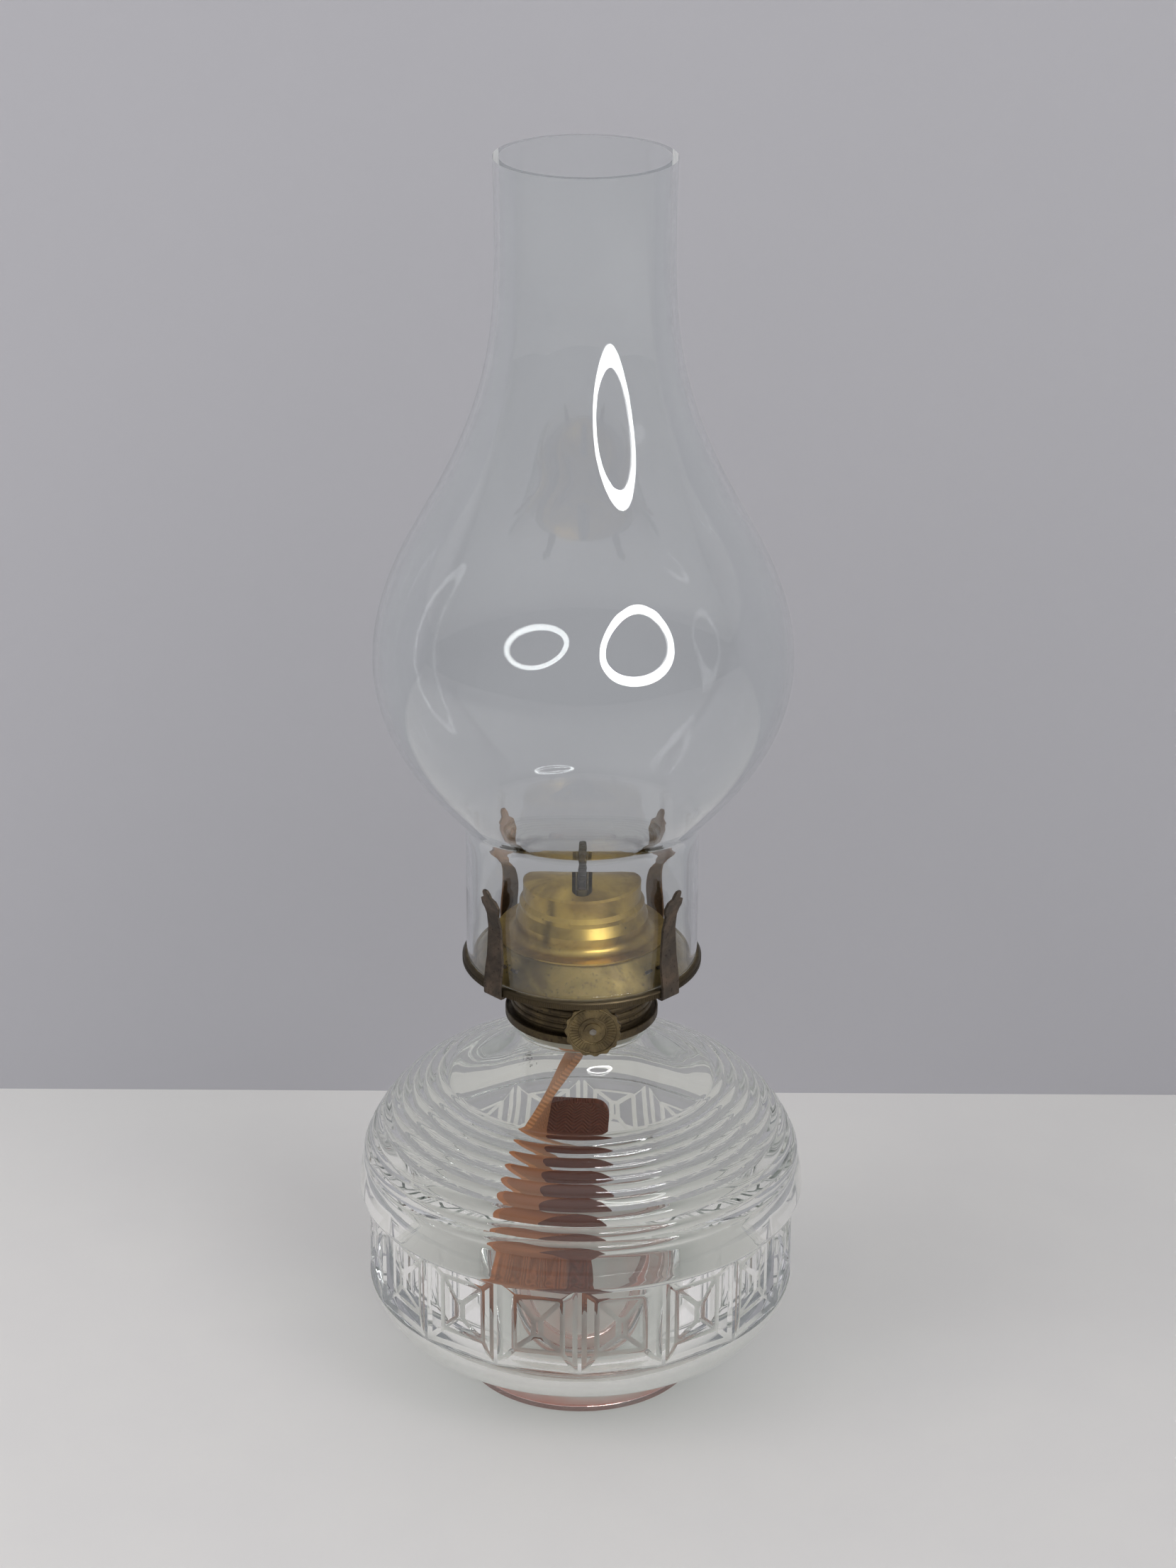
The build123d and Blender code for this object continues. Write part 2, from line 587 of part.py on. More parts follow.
with BuildPart() as shaft_clip:
    with BuildSketch(on_shaft.offset(bushing_in - CLIP_T - SHAFT_FIT)):
        Circle(CLIP_R)
        Circle(SHAFT_R, mode=Mode.SUBTRACT)
    extrude(amount=CLIP_T)
save(shaft_clip.part, "shaft_clip")

with BuildPart() as thumb_wheel:
    with BuildSketch(on_shaft.offset(-thumb_y)):
        Circle(WHEEL_R)
        with PolarLocations(WHEEL_R + WHEEL_SCALLOP_R - WHEEL_SCALLOP_DEPTH, WHEEL_SCALLOPS):
            Circle(WHEEL_SCALLOP_R, mode=Mode.SUBTRACT)
        Circle(SHAFT_R, mode=Mode.SUBTRACT)
    extrude(amount=WHEEL_T)
    with BuildSketch(on_shaft.offset(WHEEL_T - thumb_y)):
        Circle(WHEEL_BOSS_R)
        Circle(SHAFT_R, mode=Mode.SUBTRACT)
    extrude(amount=WHEEL_BOSS_H)
save(thumb_wheel.part, "thumb_wheel")

# ---------------------------------------------------------------- wick
wick_bottom = collar_top - WICK_BELOW
wick_top = cone_top + WICK_SHOWS

with BuildPart() as wick:
    with BuildSketch(Plane.XY.offset(wick_bottom)):
        RectangleRounded(WICK_T, WICK_W, WICK_ROUND)
    extrude(amount=wick_top - wick_bottom)
save(wick.part, "wick")

tail_low = floor_z + TAIL_RAISE + WICK_T
with BuildPart() as wick_tail:
    with BuildSketch(Plane.XZ):
        with BuildLine():
            FilletPolyline((WICK_T / 2, wick_bottom), (WICK_T / 2, wick_bottom - TAIL_STRAIGHT),
                           (-0.77 * TAIL_LEFT, wick_bottom - TAIL_STRAIGHT - TAIL_SLANT),
                           (-TAIL_LEFT, tail_low + TAIL_BELLY), (-0.9 * TAIL_LEFT, tail_low + TAIL_TURN),
                           (-0.35 * TAIL_LEFT, tail_low), (0.45 * TAIL_RIGHT, tail_low),
                           (TAIL_RIGHT, tail_low + TAIL_CURL), radius=WICK_T + 1)
            offset(amount=WICK_T, side=Side.RIGHT, kind=Kind.ARC)
        make_face()
    extrude(amount=WICK_W / 2, both=True)
save(wick_tail.part, "wick_tail")

# ---------------------------------------------------------------- chimney
swell = BULGE_R - FITTER_R
taper = BULGE_R - CHIMNEY_NECK_R
rise = BULGE_H - FITTER_H
climb = CHIMNEY_NECK_H - BULGE_H


def chimney_outline(inset):
    """Closed half-section inside the chimney's outer skin, or inside its inner skin."""
    with BuildLine() as outline:
        Polyline((0, seat_z), (FITTER_R - inset, seat_z), (FITTER_R - inset, seat_z + FITTER_H))
        Spline((FITTER_R - inset, seat_z + FITTER_H),
               (FITTER_R + 0.53 * swell - inset, seat_z + FITTER_H + 0.32 * rise),
               (BULGE_R - inset, seat_z + BULGE_H),
               (CHIMNEY_NECK_R + 0.76 * taper - inset, seat_z + BULGE_H + 0.28 * climb),
               (CHIMNEY_NECK_R + 0.51 * taper - inset, seat_z + BULGE_H + 0.42 * climb),
               (CHIMNEY_NECK_R + 0.25 * taper - inset, seat_z + BULGE_H + 0.59 * climb),
               (CHIMNEY_NECK_R + 0.06 * taper - inset, seat_z + BULGE_H + 0.79 * climb),
               (CHIMNEY_NECK_R - inset, seat_z + CHIMNEY_NECK_H),
               (CHIMNEY_MOUTH_R - inset, seat_z + CHIMNEY_H),
               tangents=((1, 1), (0, 1)))
        Polyline((CHIMNEY_MOUTH_R - inset, seat_z + CHIMNEY_H), (0, seat_z + CHIMNEY_H), (0, seat_z))
    return outline.line


with BuildPart() as chimney:
    with BuildSketch(Plane.XZ):
        add(chimney_outline(0))
        make_face()
    revolve(axis=Axis.Z)
    with BuildSketch(Plane.XZ):
        add(chimney_outline(CHIMNEY_WALL))
        make_face()
    revolve(axis=Axis.Z, mode=Mode.SUBTRACT)
save(chimney.part, "chimney")
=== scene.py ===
"""Table oil lamp: the looks of its glass, brass and wick, built round the fixed frame.

All geometry is in metres in the frame's own axes: +Z up the lamp, -Y the front.
"""
import logging
import math
from dataclasses import dataclass
from enum import Enum

import bmesh
import bpy
from mathutils import Matrix, Vector, noise


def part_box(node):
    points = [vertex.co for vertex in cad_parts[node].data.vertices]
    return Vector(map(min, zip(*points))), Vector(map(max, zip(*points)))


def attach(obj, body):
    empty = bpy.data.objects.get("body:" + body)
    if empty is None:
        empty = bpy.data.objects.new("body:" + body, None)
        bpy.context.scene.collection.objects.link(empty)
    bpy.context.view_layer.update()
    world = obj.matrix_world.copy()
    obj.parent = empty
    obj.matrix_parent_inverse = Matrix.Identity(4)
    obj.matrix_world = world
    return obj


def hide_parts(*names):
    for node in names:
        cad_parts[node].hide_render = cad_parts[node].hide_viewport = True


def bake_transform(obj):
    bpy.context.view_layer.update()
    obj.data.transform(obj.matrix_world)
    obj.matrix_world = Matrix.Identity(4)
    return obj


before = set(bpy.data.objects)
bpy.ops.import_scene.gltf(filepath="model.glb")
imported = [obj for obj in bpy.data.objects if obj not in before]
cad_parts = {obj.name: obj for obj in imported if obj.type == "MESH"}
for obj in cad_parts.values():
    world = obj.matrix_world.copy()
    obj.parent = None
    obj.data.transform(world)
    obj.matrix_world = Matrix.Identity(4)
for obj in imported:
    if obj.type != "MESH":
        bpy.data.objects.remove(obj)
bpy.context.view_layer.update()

log = logging.getLogger("oil_lamp")

MM = 0.001
WELD_MM = 0.002                    # points closer than this become one
Profile = list[tuple[float, float]]


class Body(Enum):
    """The moving bodies of the lamp."""

    FONT = "font"
    BURNER = "burner"
    RAISER = "wick_raiser"
    WICK = "wick"
    CHIMNEY = "chimney"


# ------------------------------------------------------------------ curves and lathes
def shifted(profile: Profile, lift: float) -> Profile:
    """Raise a profile of (radius, height) points by lift."""
    return [(radius, height + lift) for radius, height in profile]


def bearing(value: complex) -> float:
    """Angle of a complex number, in radians."""
    return math.atan2(value.imag, value.real)


def arc(start: tuple, middle: tuple, end: tuple, steps: int) -> Profile:
    """Points on the circular arc through three points.

    Args:
        start: First point, as (radius, height).
        middle: A point between.
        end: Last point.
        steps: Number of chords.

    Returns:
        The points, both ends included.
    """
    a, b, c = (complex(*point) for point in (start, middle, end))
    w = (c - a) / (b - a)
    centre = (b - a) * (w - abs(w) ** 2) / (w - w.conjugate()) + a
    ray = a - centre
    to_middle, to_end = b - centre, c - centre
    sweep = math.remainder(bearing(to_middle / ray) + bearing(to_end / to_middle), math.tau * 2)
    points = [centre + ray * complex(math.cos(sweep * k / steps), math.sin(sweep * k / steps))
              for k in range(steps + 1)]
    return [(point.real, point.imag) for point in points]


def sweep_to(start: tuple, way_out: tuple, end: tuple, way_in: tuple, steps: int,
             pull: float = 1.0) -> Profile:
    """Smooth curve between two points that leaves and arrives along given directions.

    Args:
        start: First point.
        way_out: Direction at the start.
        end: Last point.
        way_in: Direction at the end.
        steps: Number of chords.
        pull: How far the directions are felt, as a share of the distance.

    Returns:
        The points, both ends included.
    """
    a, b = Vector(start), Vector(end)
    reach = (b - a).length * pull
    out, into = Vector(way_out).normalized() * reach, Vector(way_in).normalized() * reach
    points = []
    for k in range(steps + 1):
        t = k / steps
        point = ((2 * t ** 3 - 3 * t ** 2 + 1) * a + (t ** 3 - 2 * t ** 2 + t) * out
                 + (3 * t ** 2 - 2 * t ** 3) * b + (t ** 3 - t ** 2) * into)
        points.append(tuple(point))
    return points


def rounded(corners: Profile, radius: float, steps: int = 4) -> Profile:
    """Soften the inner corners of a polyline, as fire polishing does.

    Args:
        corners: The polyline's points.
        radius: How far from each corner the softening starts.
        steps: Chords in each corner.

    Returns:
        The softened polyline.
    """
    path = [corners[0]]
    for before, corner, after in zip(corners, corners[1:], corners[2:]):
        middle = Vector(corner)
        to_before, to_after = Vector(before) - middle, Vector(after) - middle
        a = middle + to_before.normalized() * min(radius, to_before.length / 2)
        b = middle + to_after.normalized() * min(radius, to_after.length / 2)
        for k in range(steps + 1):
            t = k / steps
            path.append(tuple((1 - t) ** 2 * a + 2 * t * (1 - t) * middle + t ** 2 * b))
    path.append(corners[-1])
    return path


def spline(knots: Profile, steps: int) -> Profile:
    """Natural cubic curve of radius over height through the knots.

    Args:
        knots: Points of (radius, height), with rising heights.
        steps: Chords between two knots.

    Returns:
        The points, both ends included.
    """
    heights = [height for _, height in knots]
    radii = [radius for radius, _ in knots]
    gaps = [b - a for a, b in zip(heights, heights[1:])]
    slopes = [(b - a) / gap for a, b, gap in zip(radii, radii[1:], gaps)]
    shares, diagonals = [0.0], [0.0]
    for k in range(1, len(gaps)):
        diagonal = 2 * (gaps[k - 1] + gaps[k]) - gaps[k - 1] * shares[k - 1]
        shares.append(gaps[k] / diagonal)
        diagonals.append((3 * (slopes[k] - slopes[k - 1]) - gaps[k - 1] * diagonals[k - 1]) / diagonal)
    bends = [0.0] * len(knots)
    for k in range(len(gaps) - 1, 0, -1):
        bends[k] = diagonals[k] - shares[k] * bends[k + 1]
    points = []
    for k, gap in enumerate(gaps):
        rate = slopes[k] - gap * (2 * bends[k] + bends[k + 1]) / 3
        twist = (bends[k + 1] - bends[k]) / (3 * gap)
        for step in range(steps):
            d = gap * step / steps
            points.append((radii[k] + rate * d + bends[k] * d ** 2 + twist * d ** 3, heights[k] + d))
    return points + [knots[-1]]


def lathe(bm: bmesh.types.BMesh, profile: Profile, steps: int, closed: bool = False) -> None:
    """Spin a profile of (radius, height) points, in millimetres, round the lamp's axis.

    Args:
        bm: The bmesh to add to.
        profile: The half-section.
        steps: Faces round the axis.
        closed: Whether the last point joins the first.
    """
    verts = [bm.verts.new((radius * MM, 0, height * MM)) for radius, height in profile]
    pairs = list(zip(verts, verts[1:])) + ([(verts[-1], verts[0])] if closed else [])
    edges = [bm.edges.new(pair) for pair in pairs]
    bmesh.ops.spin(bm, geom=verts + edges, cent=(0, 0, 0), axis=(0, 0, 1), angle=math.tau,
                   steps=steps, use_merge=True)


def add_ring(bm: bmesh.types.BMesh, radius: float, thick: float, segments: int, steps: int) -> None:
    """Add a round ring that lies flat about the origin.

    Args:
        bm: The bmesh to add to.
        radius: Radius of the ring's centre line, in metres.
        thick: Radius of its section, in metres.
        segments: Sides of the section.
        steps: Steps round the ring.
    """
    place = Matrix.Translation((radius, 0, 0)) @ Matrix.Rotation(math.pi / 2, 4, "X")
    section = bmesh.ops.create_circle(bm, segments=segments, radius=thick, matrix=place)["verts"]
    edges = [edge for edge in bm.edges if all(vert in section for vert in edge.verts)]
    bmesh.ops.spin(bm, geom=section + edges, cent=(0, 0, 0), axis=(0, 0, 1), angle=math.tau,
                   steps=steps, use_merge=True)


def finish_piece(name: str, bm: bmesh.types.BMesh, material: bpy.types.Material, sharp: float = 35.0
                 ) -> bpy.types.Object:
    """Turn a bmesh into a smooth-shaded object at the origin.

    Args:
        name: The piece's name.
        bm: Its mesh, in place. It is freed.
        material: Its finish.
        sharp: Edges that turn by more than this, in degrees, stay crisp.

    Returns:
        The new object.
    """
    bmesh.ops.remove_doubles(bm, verts=bm.verts, dist=WELD_MM * MM)
    bmesh.ops.recalc_face_normals(bm, faces=bm.faces)
    mesh = bpy.data.meshes.new(name)
    bm.to_mesh(mesh)
    bm.free()
    mesh.shade_smooth()
    mesh.set_sharp_from_angle(angle=math.radians(sharp))
    mesh.materials.append(material)
    piece = bpy.data.objects.new(name, mesh)
    bpy.context.scene.collection.objects.link(piece)
    log.info("%s: %d faces", name, len(mesh.polygons))
    return piece


# ------------------------------------------------------------------ finishes
def linear(code: str) -> tuple[float, float, float, float]:
    """Turn an sRGB hex colour such as "#C8A050" into linear RGBA."""
    channels = [int(code[k:k + 2], 16) / 255 for k in (1, 3, 5)]
    values = [c / 12.92 if c <= 0.04045 else ((c + 0.055) / 1.055) ** 2.4 for c in channels]
    return (*values, 1.0)


def add_node(tree: bpy.types.NodeTree, kind: str, inputs: dict | None = None,
             **settings: object) -> bpy.types.Node:
    """Add one node with its settings, values and links.

    Args:
        tree: The node tree.
        kind: The node's type, without the ShaderNode prefix.
        inputs: Socket name or index to a value, or to the socket that feeds it.
        settings: The node's own properties.

    Returns:
        The node.
    """
    node = tree.nodes.new("ShaderNode" + kind)
    for name, value in settings.items():
        setattr(node, name, value)
    for key, value in (inputs or {}).items():
        if isinstance(value, bpy.types.NodeSocket):
            tree.links.new(value, node.inputs[key])
        else:
            node.inputs[key].default_value = value
    return node


def add_math(tree: bpy.types.NodeTree, operation: str, *values: object) -> bpy.types.Node:
    """Add a Math node that works on values or sockets."""
    return add_node(tree, "Math", dict(enumerate(values)), operation=operation)


def add_ramp(tree: bpy.types.NodeTree, value: bpy.types.NodeSocket, low: float, high: float,
             start: float = 0.0, end: float = 1.0, smooth: bool = False) -> bpy.types.Node:
    """Add a ramp from start to end, while the value goes from low to high."""
    return add_node(tree, "MapRange", {"Value": value, "From Min": low, "From Max": high,
                                       "To Min": start, "To Max": end},
                    interpolation_type="SMOOTHSTEP" if smooth else "LINEAR")


def blank_material(name: str) -> tuple[bpy.types.Material, bpy.types.NodeTree]:
    """A material with an empty node tree."""
    material = bpy.data.materials.new(name)
    material.use_nodes = True
    material.node_tree.nodes.clear()
    return material, material.node_tree


def grain(size_mm: float) -> float:
    """Noise scale whose features are about size_mm across."""
    return 1 / (size_mm * MM)


def add_noise(tree: bpy.types.NodeTree, place: bpy.types.NodeSocket, size_mm: float, detail: float,
              roughness: float = 0.5) -> bpy.types.Node:
    """Add noise whose features are about size_mm across."""
    return add_node(tree, "TexNoise", {"Vector": place, "Scale": grain(size_mm), "Detail": detail,
                                       "Roughness": roughness})


@dataclass(frozen=True)
class AgedBrass:
    """Sheet metal darkened by heat and handling: bright where worn, brown where not.

    Faint rings round the axis are the marks of the spinning lathe, and specks are old oil.
    """

    name: str
    worn: str
    tarnish: str
    spots: str
    roughness: tuple[float, float] = (0.22, 0.5)
    patch_mm: float = 9.0
    bright_share: float = 0.5     # 1 is all worn bright, 0 all tarnished
    spot_share: float = 0.2
    ring_mm: float = 0.35         # spacing of the spinning marks
    relief_mm: float = 0.02
    patch_edge: float = 0.2       # small is a hard edge between worn and tarnished
    dark_from_mm: float = 200.0   # beyond this radius the metal was never rubbed bright
    speck_mm: float = 1.1
    speck_cover: float = 0.85     # how far a speck hides the metal
    rim_cover: float = 0.9        # how far the dark rim hides it

    def build(self) -> bpy.types.Material:
        """Make the material."""
        material, tree = blank_material(self.name)
        place = add_node(tree, "TexCoord").outputs["Object"]
        parts = add_node(tree, "SeparateXYZ", {0: place})
        flat = add_node(tree, "CombineXYZ", {"X": parts.outputs["X"], "Y": parts.outputs["Y"]})
        radius = add_node(tree, "VectorMath", {0: flat.outputs[0]}, operation="LENGTH")
        turned = add_node(tree, "CombineXYZ", {"X": radius.outputs["Value"], "Z": parts.outputs["Z"]})
        rings = add_noise(tree, turned.outputs[0], self.ring_mm, 3.0, 0.6)
        patches = add_node(tree, "TexNoise", {"Vector": place, "Scale": grain(self.patch_mm),
                                              "Detail": 6.0, "Roughness": 0.62, "Distortion": 0.6})
        specks = add_noise(tree, place, self.speck_mm, 4.0, 0.7)
        # Noise stays near a half, so these are the values that give the shares
        middle = 0.36 + 0.28 * self.bright_share
        edge = 0.68 - 0.25 * self.spot_share
        worn = add_ramp(tree, patches.outputs["Fac"], middle - self.patch_edge,
                        middle + self.patch_edge, smooth=True)
        colour = add_node(tree, "Mix", {0: worn.outputs[0], 6: linear(self.worn), 7: linear(self.tarnish)},
                          data_type="RGBA")
        spots = add_ramp(tree, specks.outputs["Fac"], edge, edge + 0.1, 0.0, self.speck_cover)
        spotted = add_node(tree, "Mix", {0: spots.outputs[0], 6: colour.outputs[2], 7: linear(self.spots)},
                           data_type="RGBA")
        rough = add_ramp(tree, worn.outputs[0], 0.0, 1.0, self.roughness[0], self.roughness[1])
        uneven = add_math(tree, "MULTIPLY_ADD", rings.outputs["Fac"], 0.16, rough.outputs[0])
        outer = add_ramp(tree, radius.outputs["Value"], self.dark_from_mm * MM,
                         (self.dark_from_mm + 1) * MM, 0.0, self.rim_cover)
        aged = add_node(tree, "Mix", {0: outer.outputs[0], 6: spotted.outputs[2], 7: linear(self.spots)},
                        data_type="RGBA")
        height = add_math(tree, "MULTIPLY_ADD", rings.outputs["Fac"], 0.6, specks.outputs["Fac"])
        bump = add_node(tree, "Bump", {"Strength": 0.5, "Distance": self.relief_mm * MM,
                                       "Height": height.outputs[0]})
        shader = add_node(tree, "BsdfPrincipled", {"Base Color": aged.outputs[2], "Metallic": 1.0,
                                                   "Roughness": uneven.outputs[0],
                                                   "Normal": bump.outputs[0]})
        add_node(tree, "OutputMaterial", {"Surface": shader.outputs[0]})
        return material


@dataclass(frozen=True)
class ClearGlass:
    """Soda-lime glass: clear, with sharp reflections and the faint waver of hand work.

    Light on its way to the table, and light that stays caught in the wall, goes straight through.
    """

    name: str
    tint: str
    stain: str | None = None
    stain_top_mm: float = 0.0      # the stain fades out at this height
    dirt_mm: tuple[float, float, float] | None = None
    dirt_reach_mm: float = 7.0
    roughness: float = 0.0
    ior: float = 1.5
    lets_through: str = "#F4F6F6"
    wave_mm: float = 30.0
    wave_relief_mm: float = 0.0
    stain_fade_mm: float = 9.0
    cloud_mm: float = 14.0         # size of the stain's ragged edge
    cloud_rise_mm: float = 8.0     # and how far it wanders
    speck_mm: float = 0.9
    most_mirrors: float = 3.5      # a ray reflected more often than this is let out

    def build(self) -> bpy.types.Material:
        """Make the material."""
        material, tree = blank_material(self.name)
        place = add_node(tree, "TexCoord").outputs["Object"]
        colour = self._stained(tree, place) if self.stain else linear(self.tint)
        shader_inputs = {"Base Color": colour, "Roughness": self.roughness, "IOR": self.ior,
                         "Transmission Weight": 1.0}
        if self.wave_relief_mm:
            waves = add_noise(tree, place, self.wave_mm, 1.0)
            bump = add_node(tree, "Bump", {"Strength": 1.0, "Distance": self.wave_relief_mm * MM,
                                           "Height": waves.outputs["Fac"]})
            shader_inputs["Normal"] = bump.outputs[0]
        shader = add_node(tree, "BsdfPrincipled", shader_inputs).outputs[0]
        if self.dirt_mm:
            shader = self._dirty(tree, place, shader)
        through = add_node(tree, "BsdfTransparent", {0: linear(self.lets_through)})
        rays = add_node(tree, "LightPath").outputs
        scattered = add_math(tree, "MAXIMUM", rays["Is Shadow Ray"], rays["Is Diffuse Ray"])
        trapped = add_math(tree, "GREATER_THAN", rays["Glossy Depth"], self.most_mirrors)
        unbent = add_math(tree, "MAXIMUM", scattered.outputs[0], trapped.outputs[0])
        mixed = add_node(tree, "MixShader", {0: unbent.outputs[0], 1: shader, 2: through.outputs[0]})
        add_node(tree, "OutputMaterial", {"Surface": mixed.outputs[0]})
        return material

    def _stained(self, tree: bpy.types.NodeTree, place: bpy.types.NodeSocket) -> bpy.types.NodeSocket:
        """Let the stain fade out upwards along a ragged edge.

        Args:
            tree: The material's tree.
            place: Object coordinates.

        Returns:
            The colour.
        """
        height = add_node(tree, "SeparateXYZ", {0: place})
        cloud = add_noise(tree, place, self.cloud_mm, 3.0)
        waver = add_math(tree, "MULTIPLY_ADD", cloud.outputs["Fac"], self.cloud_rise_mm * MM,
                         height.outputs["Z"])
        top = (self.stain_top_mm + self.cloud_rise_mm / 2) * MM
        low = add_ramp(tree, waver.outputs[0], top - self.stain_fade_mm * MM, top, 1.0, 0.0,
                       smooth=True)
        colour = add_node(tree, "Mix", {0: low.outputs[0], 6: linear(self.tint), 7: linear(self.stain)},
                          data_type="RGBA")
        return colour.outputs[2]

    def _dirty(self, tree: bpy.types.NodeTree, place: bpy.types.NodeSocket,
               clean: bpy.types.NodeSocket) -> bpy.types.NodeSocket:
        """Scatter dark specks over a small area of the glass.

        Args:
            tree: The material's tree.
            place: Object coordinates.
            clean: The clean glass's shader.

        Returns:
            The shader with its specks.
        """
        centre = tuple(value * MM for value in self.dirt_mm)
        away = add_node(tree, "VectorMath", {0: place, 1: centre}, operation="DISTANCE")
        near = add_ramp(tree, away.outputs["Value"], 0.0, self.dirt_reach_mm * MM, 0.2, -0.1)
        specks = add_noise(tree, place, self.speck_mm, 5.0, 0.7)
        total = add_math(tree, "ADD", specks.outputs["Fac"], near.outputs[0])
        mask = add_ramp(tree, total.outputs[0], 0.68, 0.74)
        soot = add_node(tree, "BsdfPrincipled", {"Base Color": linear("#2E2620"), "Roughness": 0.9})
        mixed = add_node(tree, "MixShader", {0: mask.outputs[0], 1: clean, 2: soot.outputs[0]})
        return mixed.outputs[0]


@dataclass(frozen=True)
class BraidedCotton:
    """Flat braided cotton wick: a herringbone of soft yarns, charred at the tip, oily below, with painted
    shade in its grooves and on its far, oil-soaked end.

    Its pattern follows the piece's own map: U runs across and V down from the tip, in metres.
    """

    name: str = "braided_cotton"
    char: str = "#1A1310"
    scorch: str = "#4A3428"
    clean: str = "#C88C62"
    oily: str = "#BC7448"
    # Oil-soaked cotton darkened further by painted shade, for the tail's far end that folds over in the font
    soaked_and_shaded: str = "#6E3826"
    yarn_mm: float = 1.7
    plait_mm: float = 6.0          # width of one plait across the wick
    slant_mm: float = 1.2          # how far its yarns lean
    fuzz_mm: float = 0.5
    ragged_mm: float = 6.0         # how far the colours' edges wander

    def build(self) -> bpy.types.Material:
        """Make the material."""
        material, tree = blank_material(self.name)
        run = add_node(tree, "UVMap", uv_map="wick").outputs[0]
        parts = add_node(tree, "SeparateXYZ", {0: run})
        cloud = add_noise(tree, run, 7.0, 4.0)
        ragged = add_math(tree, "MULTIPLY_ADD", cloud.outputs["Fac"], self.ragged_mm * MM, parts.outputs["Y"])
        across = add_math(tree, "MULTIPLY", parts.outputs["X"], math.tau / (self.plait_mm * MM))
        fold = add_math(tree, "COSINE", across.outputs[0])
        slant = add_math(tree, "MULTIPLY_ADD", fold.outputs[0], self.slant_mm * MM, parts.outputs["Y"])
        yarns = add_math(tree, "MULTIPLY", slant.outputs[0], math.tau / (self.yarn_mm * MM))
        crest = add_math(tree, "SINE", yarns.outputs[0])
        fuzz = add_noise(tree, run, self.fuzz_mm, 3.0)
        relief = add_math(tree, "MULTIPLY_ADD", crest.outputs[0], 0.5, fuzz.outputs["Fac"])
        # Each shade comes in between these distances from the tip; the last is oil-soaked cotton darkened
        # further by painted shade
        shades = ((8, 11, self.scorch), (14, 30, self.clean), (90, 130, self.oily), (150, 190, self.soaked_and_shaded))
        colour: bpy.types.NodeSocket | tuple = linear(self.char)
        for start, end, shade in shades:
            step = add_ramp(tree, ragged.outputs[0], start * MM, end * MM)
            colour = add_node(tree, "Mix", {0: step.outputs[0], 6: colour, 7: linear(shade)},
                              data_type="RGBA").outputs[2]
        # Painted shade: the colour darkens in the grooves between the yarns and lightens on their crests
        dark = add_ramp(tree, relief.outputs[0], -0.2, 0.9, 0.62, 1.08)
        shaded = add_node(tree, "VectorMath", {0: colour, "Scale": dark.outputs[0]}, operation="SCALE")
        bump = add_node(tree, "Bump", {"Strength": 0.8, "Distance": 0.35 * MM, "Height": relief.outputs[0]})
        shader = add_node(tree, "BsdfPrincipled", {"Base Color": shaded.outputs[0], "Roughness": 0.85,
                                                   "Sheen Weight": 0.04, "Normal": bump.outputs[0]})
        add_node(tree, "OutputMaterial", {"Surface": shader.outputs[0]})
        return material


@dataclass(frozen=True)
class Matte:
    """A plain matte surface with faint mottling, such as plaster or paper."""

    name: str
    colour: str
    mottle: str
    roughness: float = 0.8
    patch_mm: float = 40.0
    one_sided: bool = False

    def build(self) -> bpy.types.Material:
        """Make the material."""
        material, tree = blank_material(self.name)
        place = add_node(tree, "TexCoord").outputs["Object"]
        cloud = add_noise(tree, place, self.patch_mm, 4.0)
        colour = add_node(tree, "Mix", {0: cloud.outputs["Fac"], 6: linear(self.colour),
                                        7: linear(self.mottle)}, data_type="RGBA")
        shader = add_node(tree, "BsdfPrincipled", {"Base Color": colour.outputs[2],
                                                   "Roughness": self.roughness}).outputs[0]
        if self.one_sided:
            back = add_node(tree, "NewGeometry").outputs["Backfacing"]
            clear = add_node(tree, "BsdfTransparent").outputs[0]
            shader = add_node(tree, "MixShader", {0: back, 1: shader, 2: clear}).outputs[0]
        add_node(tree, "OutputMaterial", {"Surface": shader})
        return material


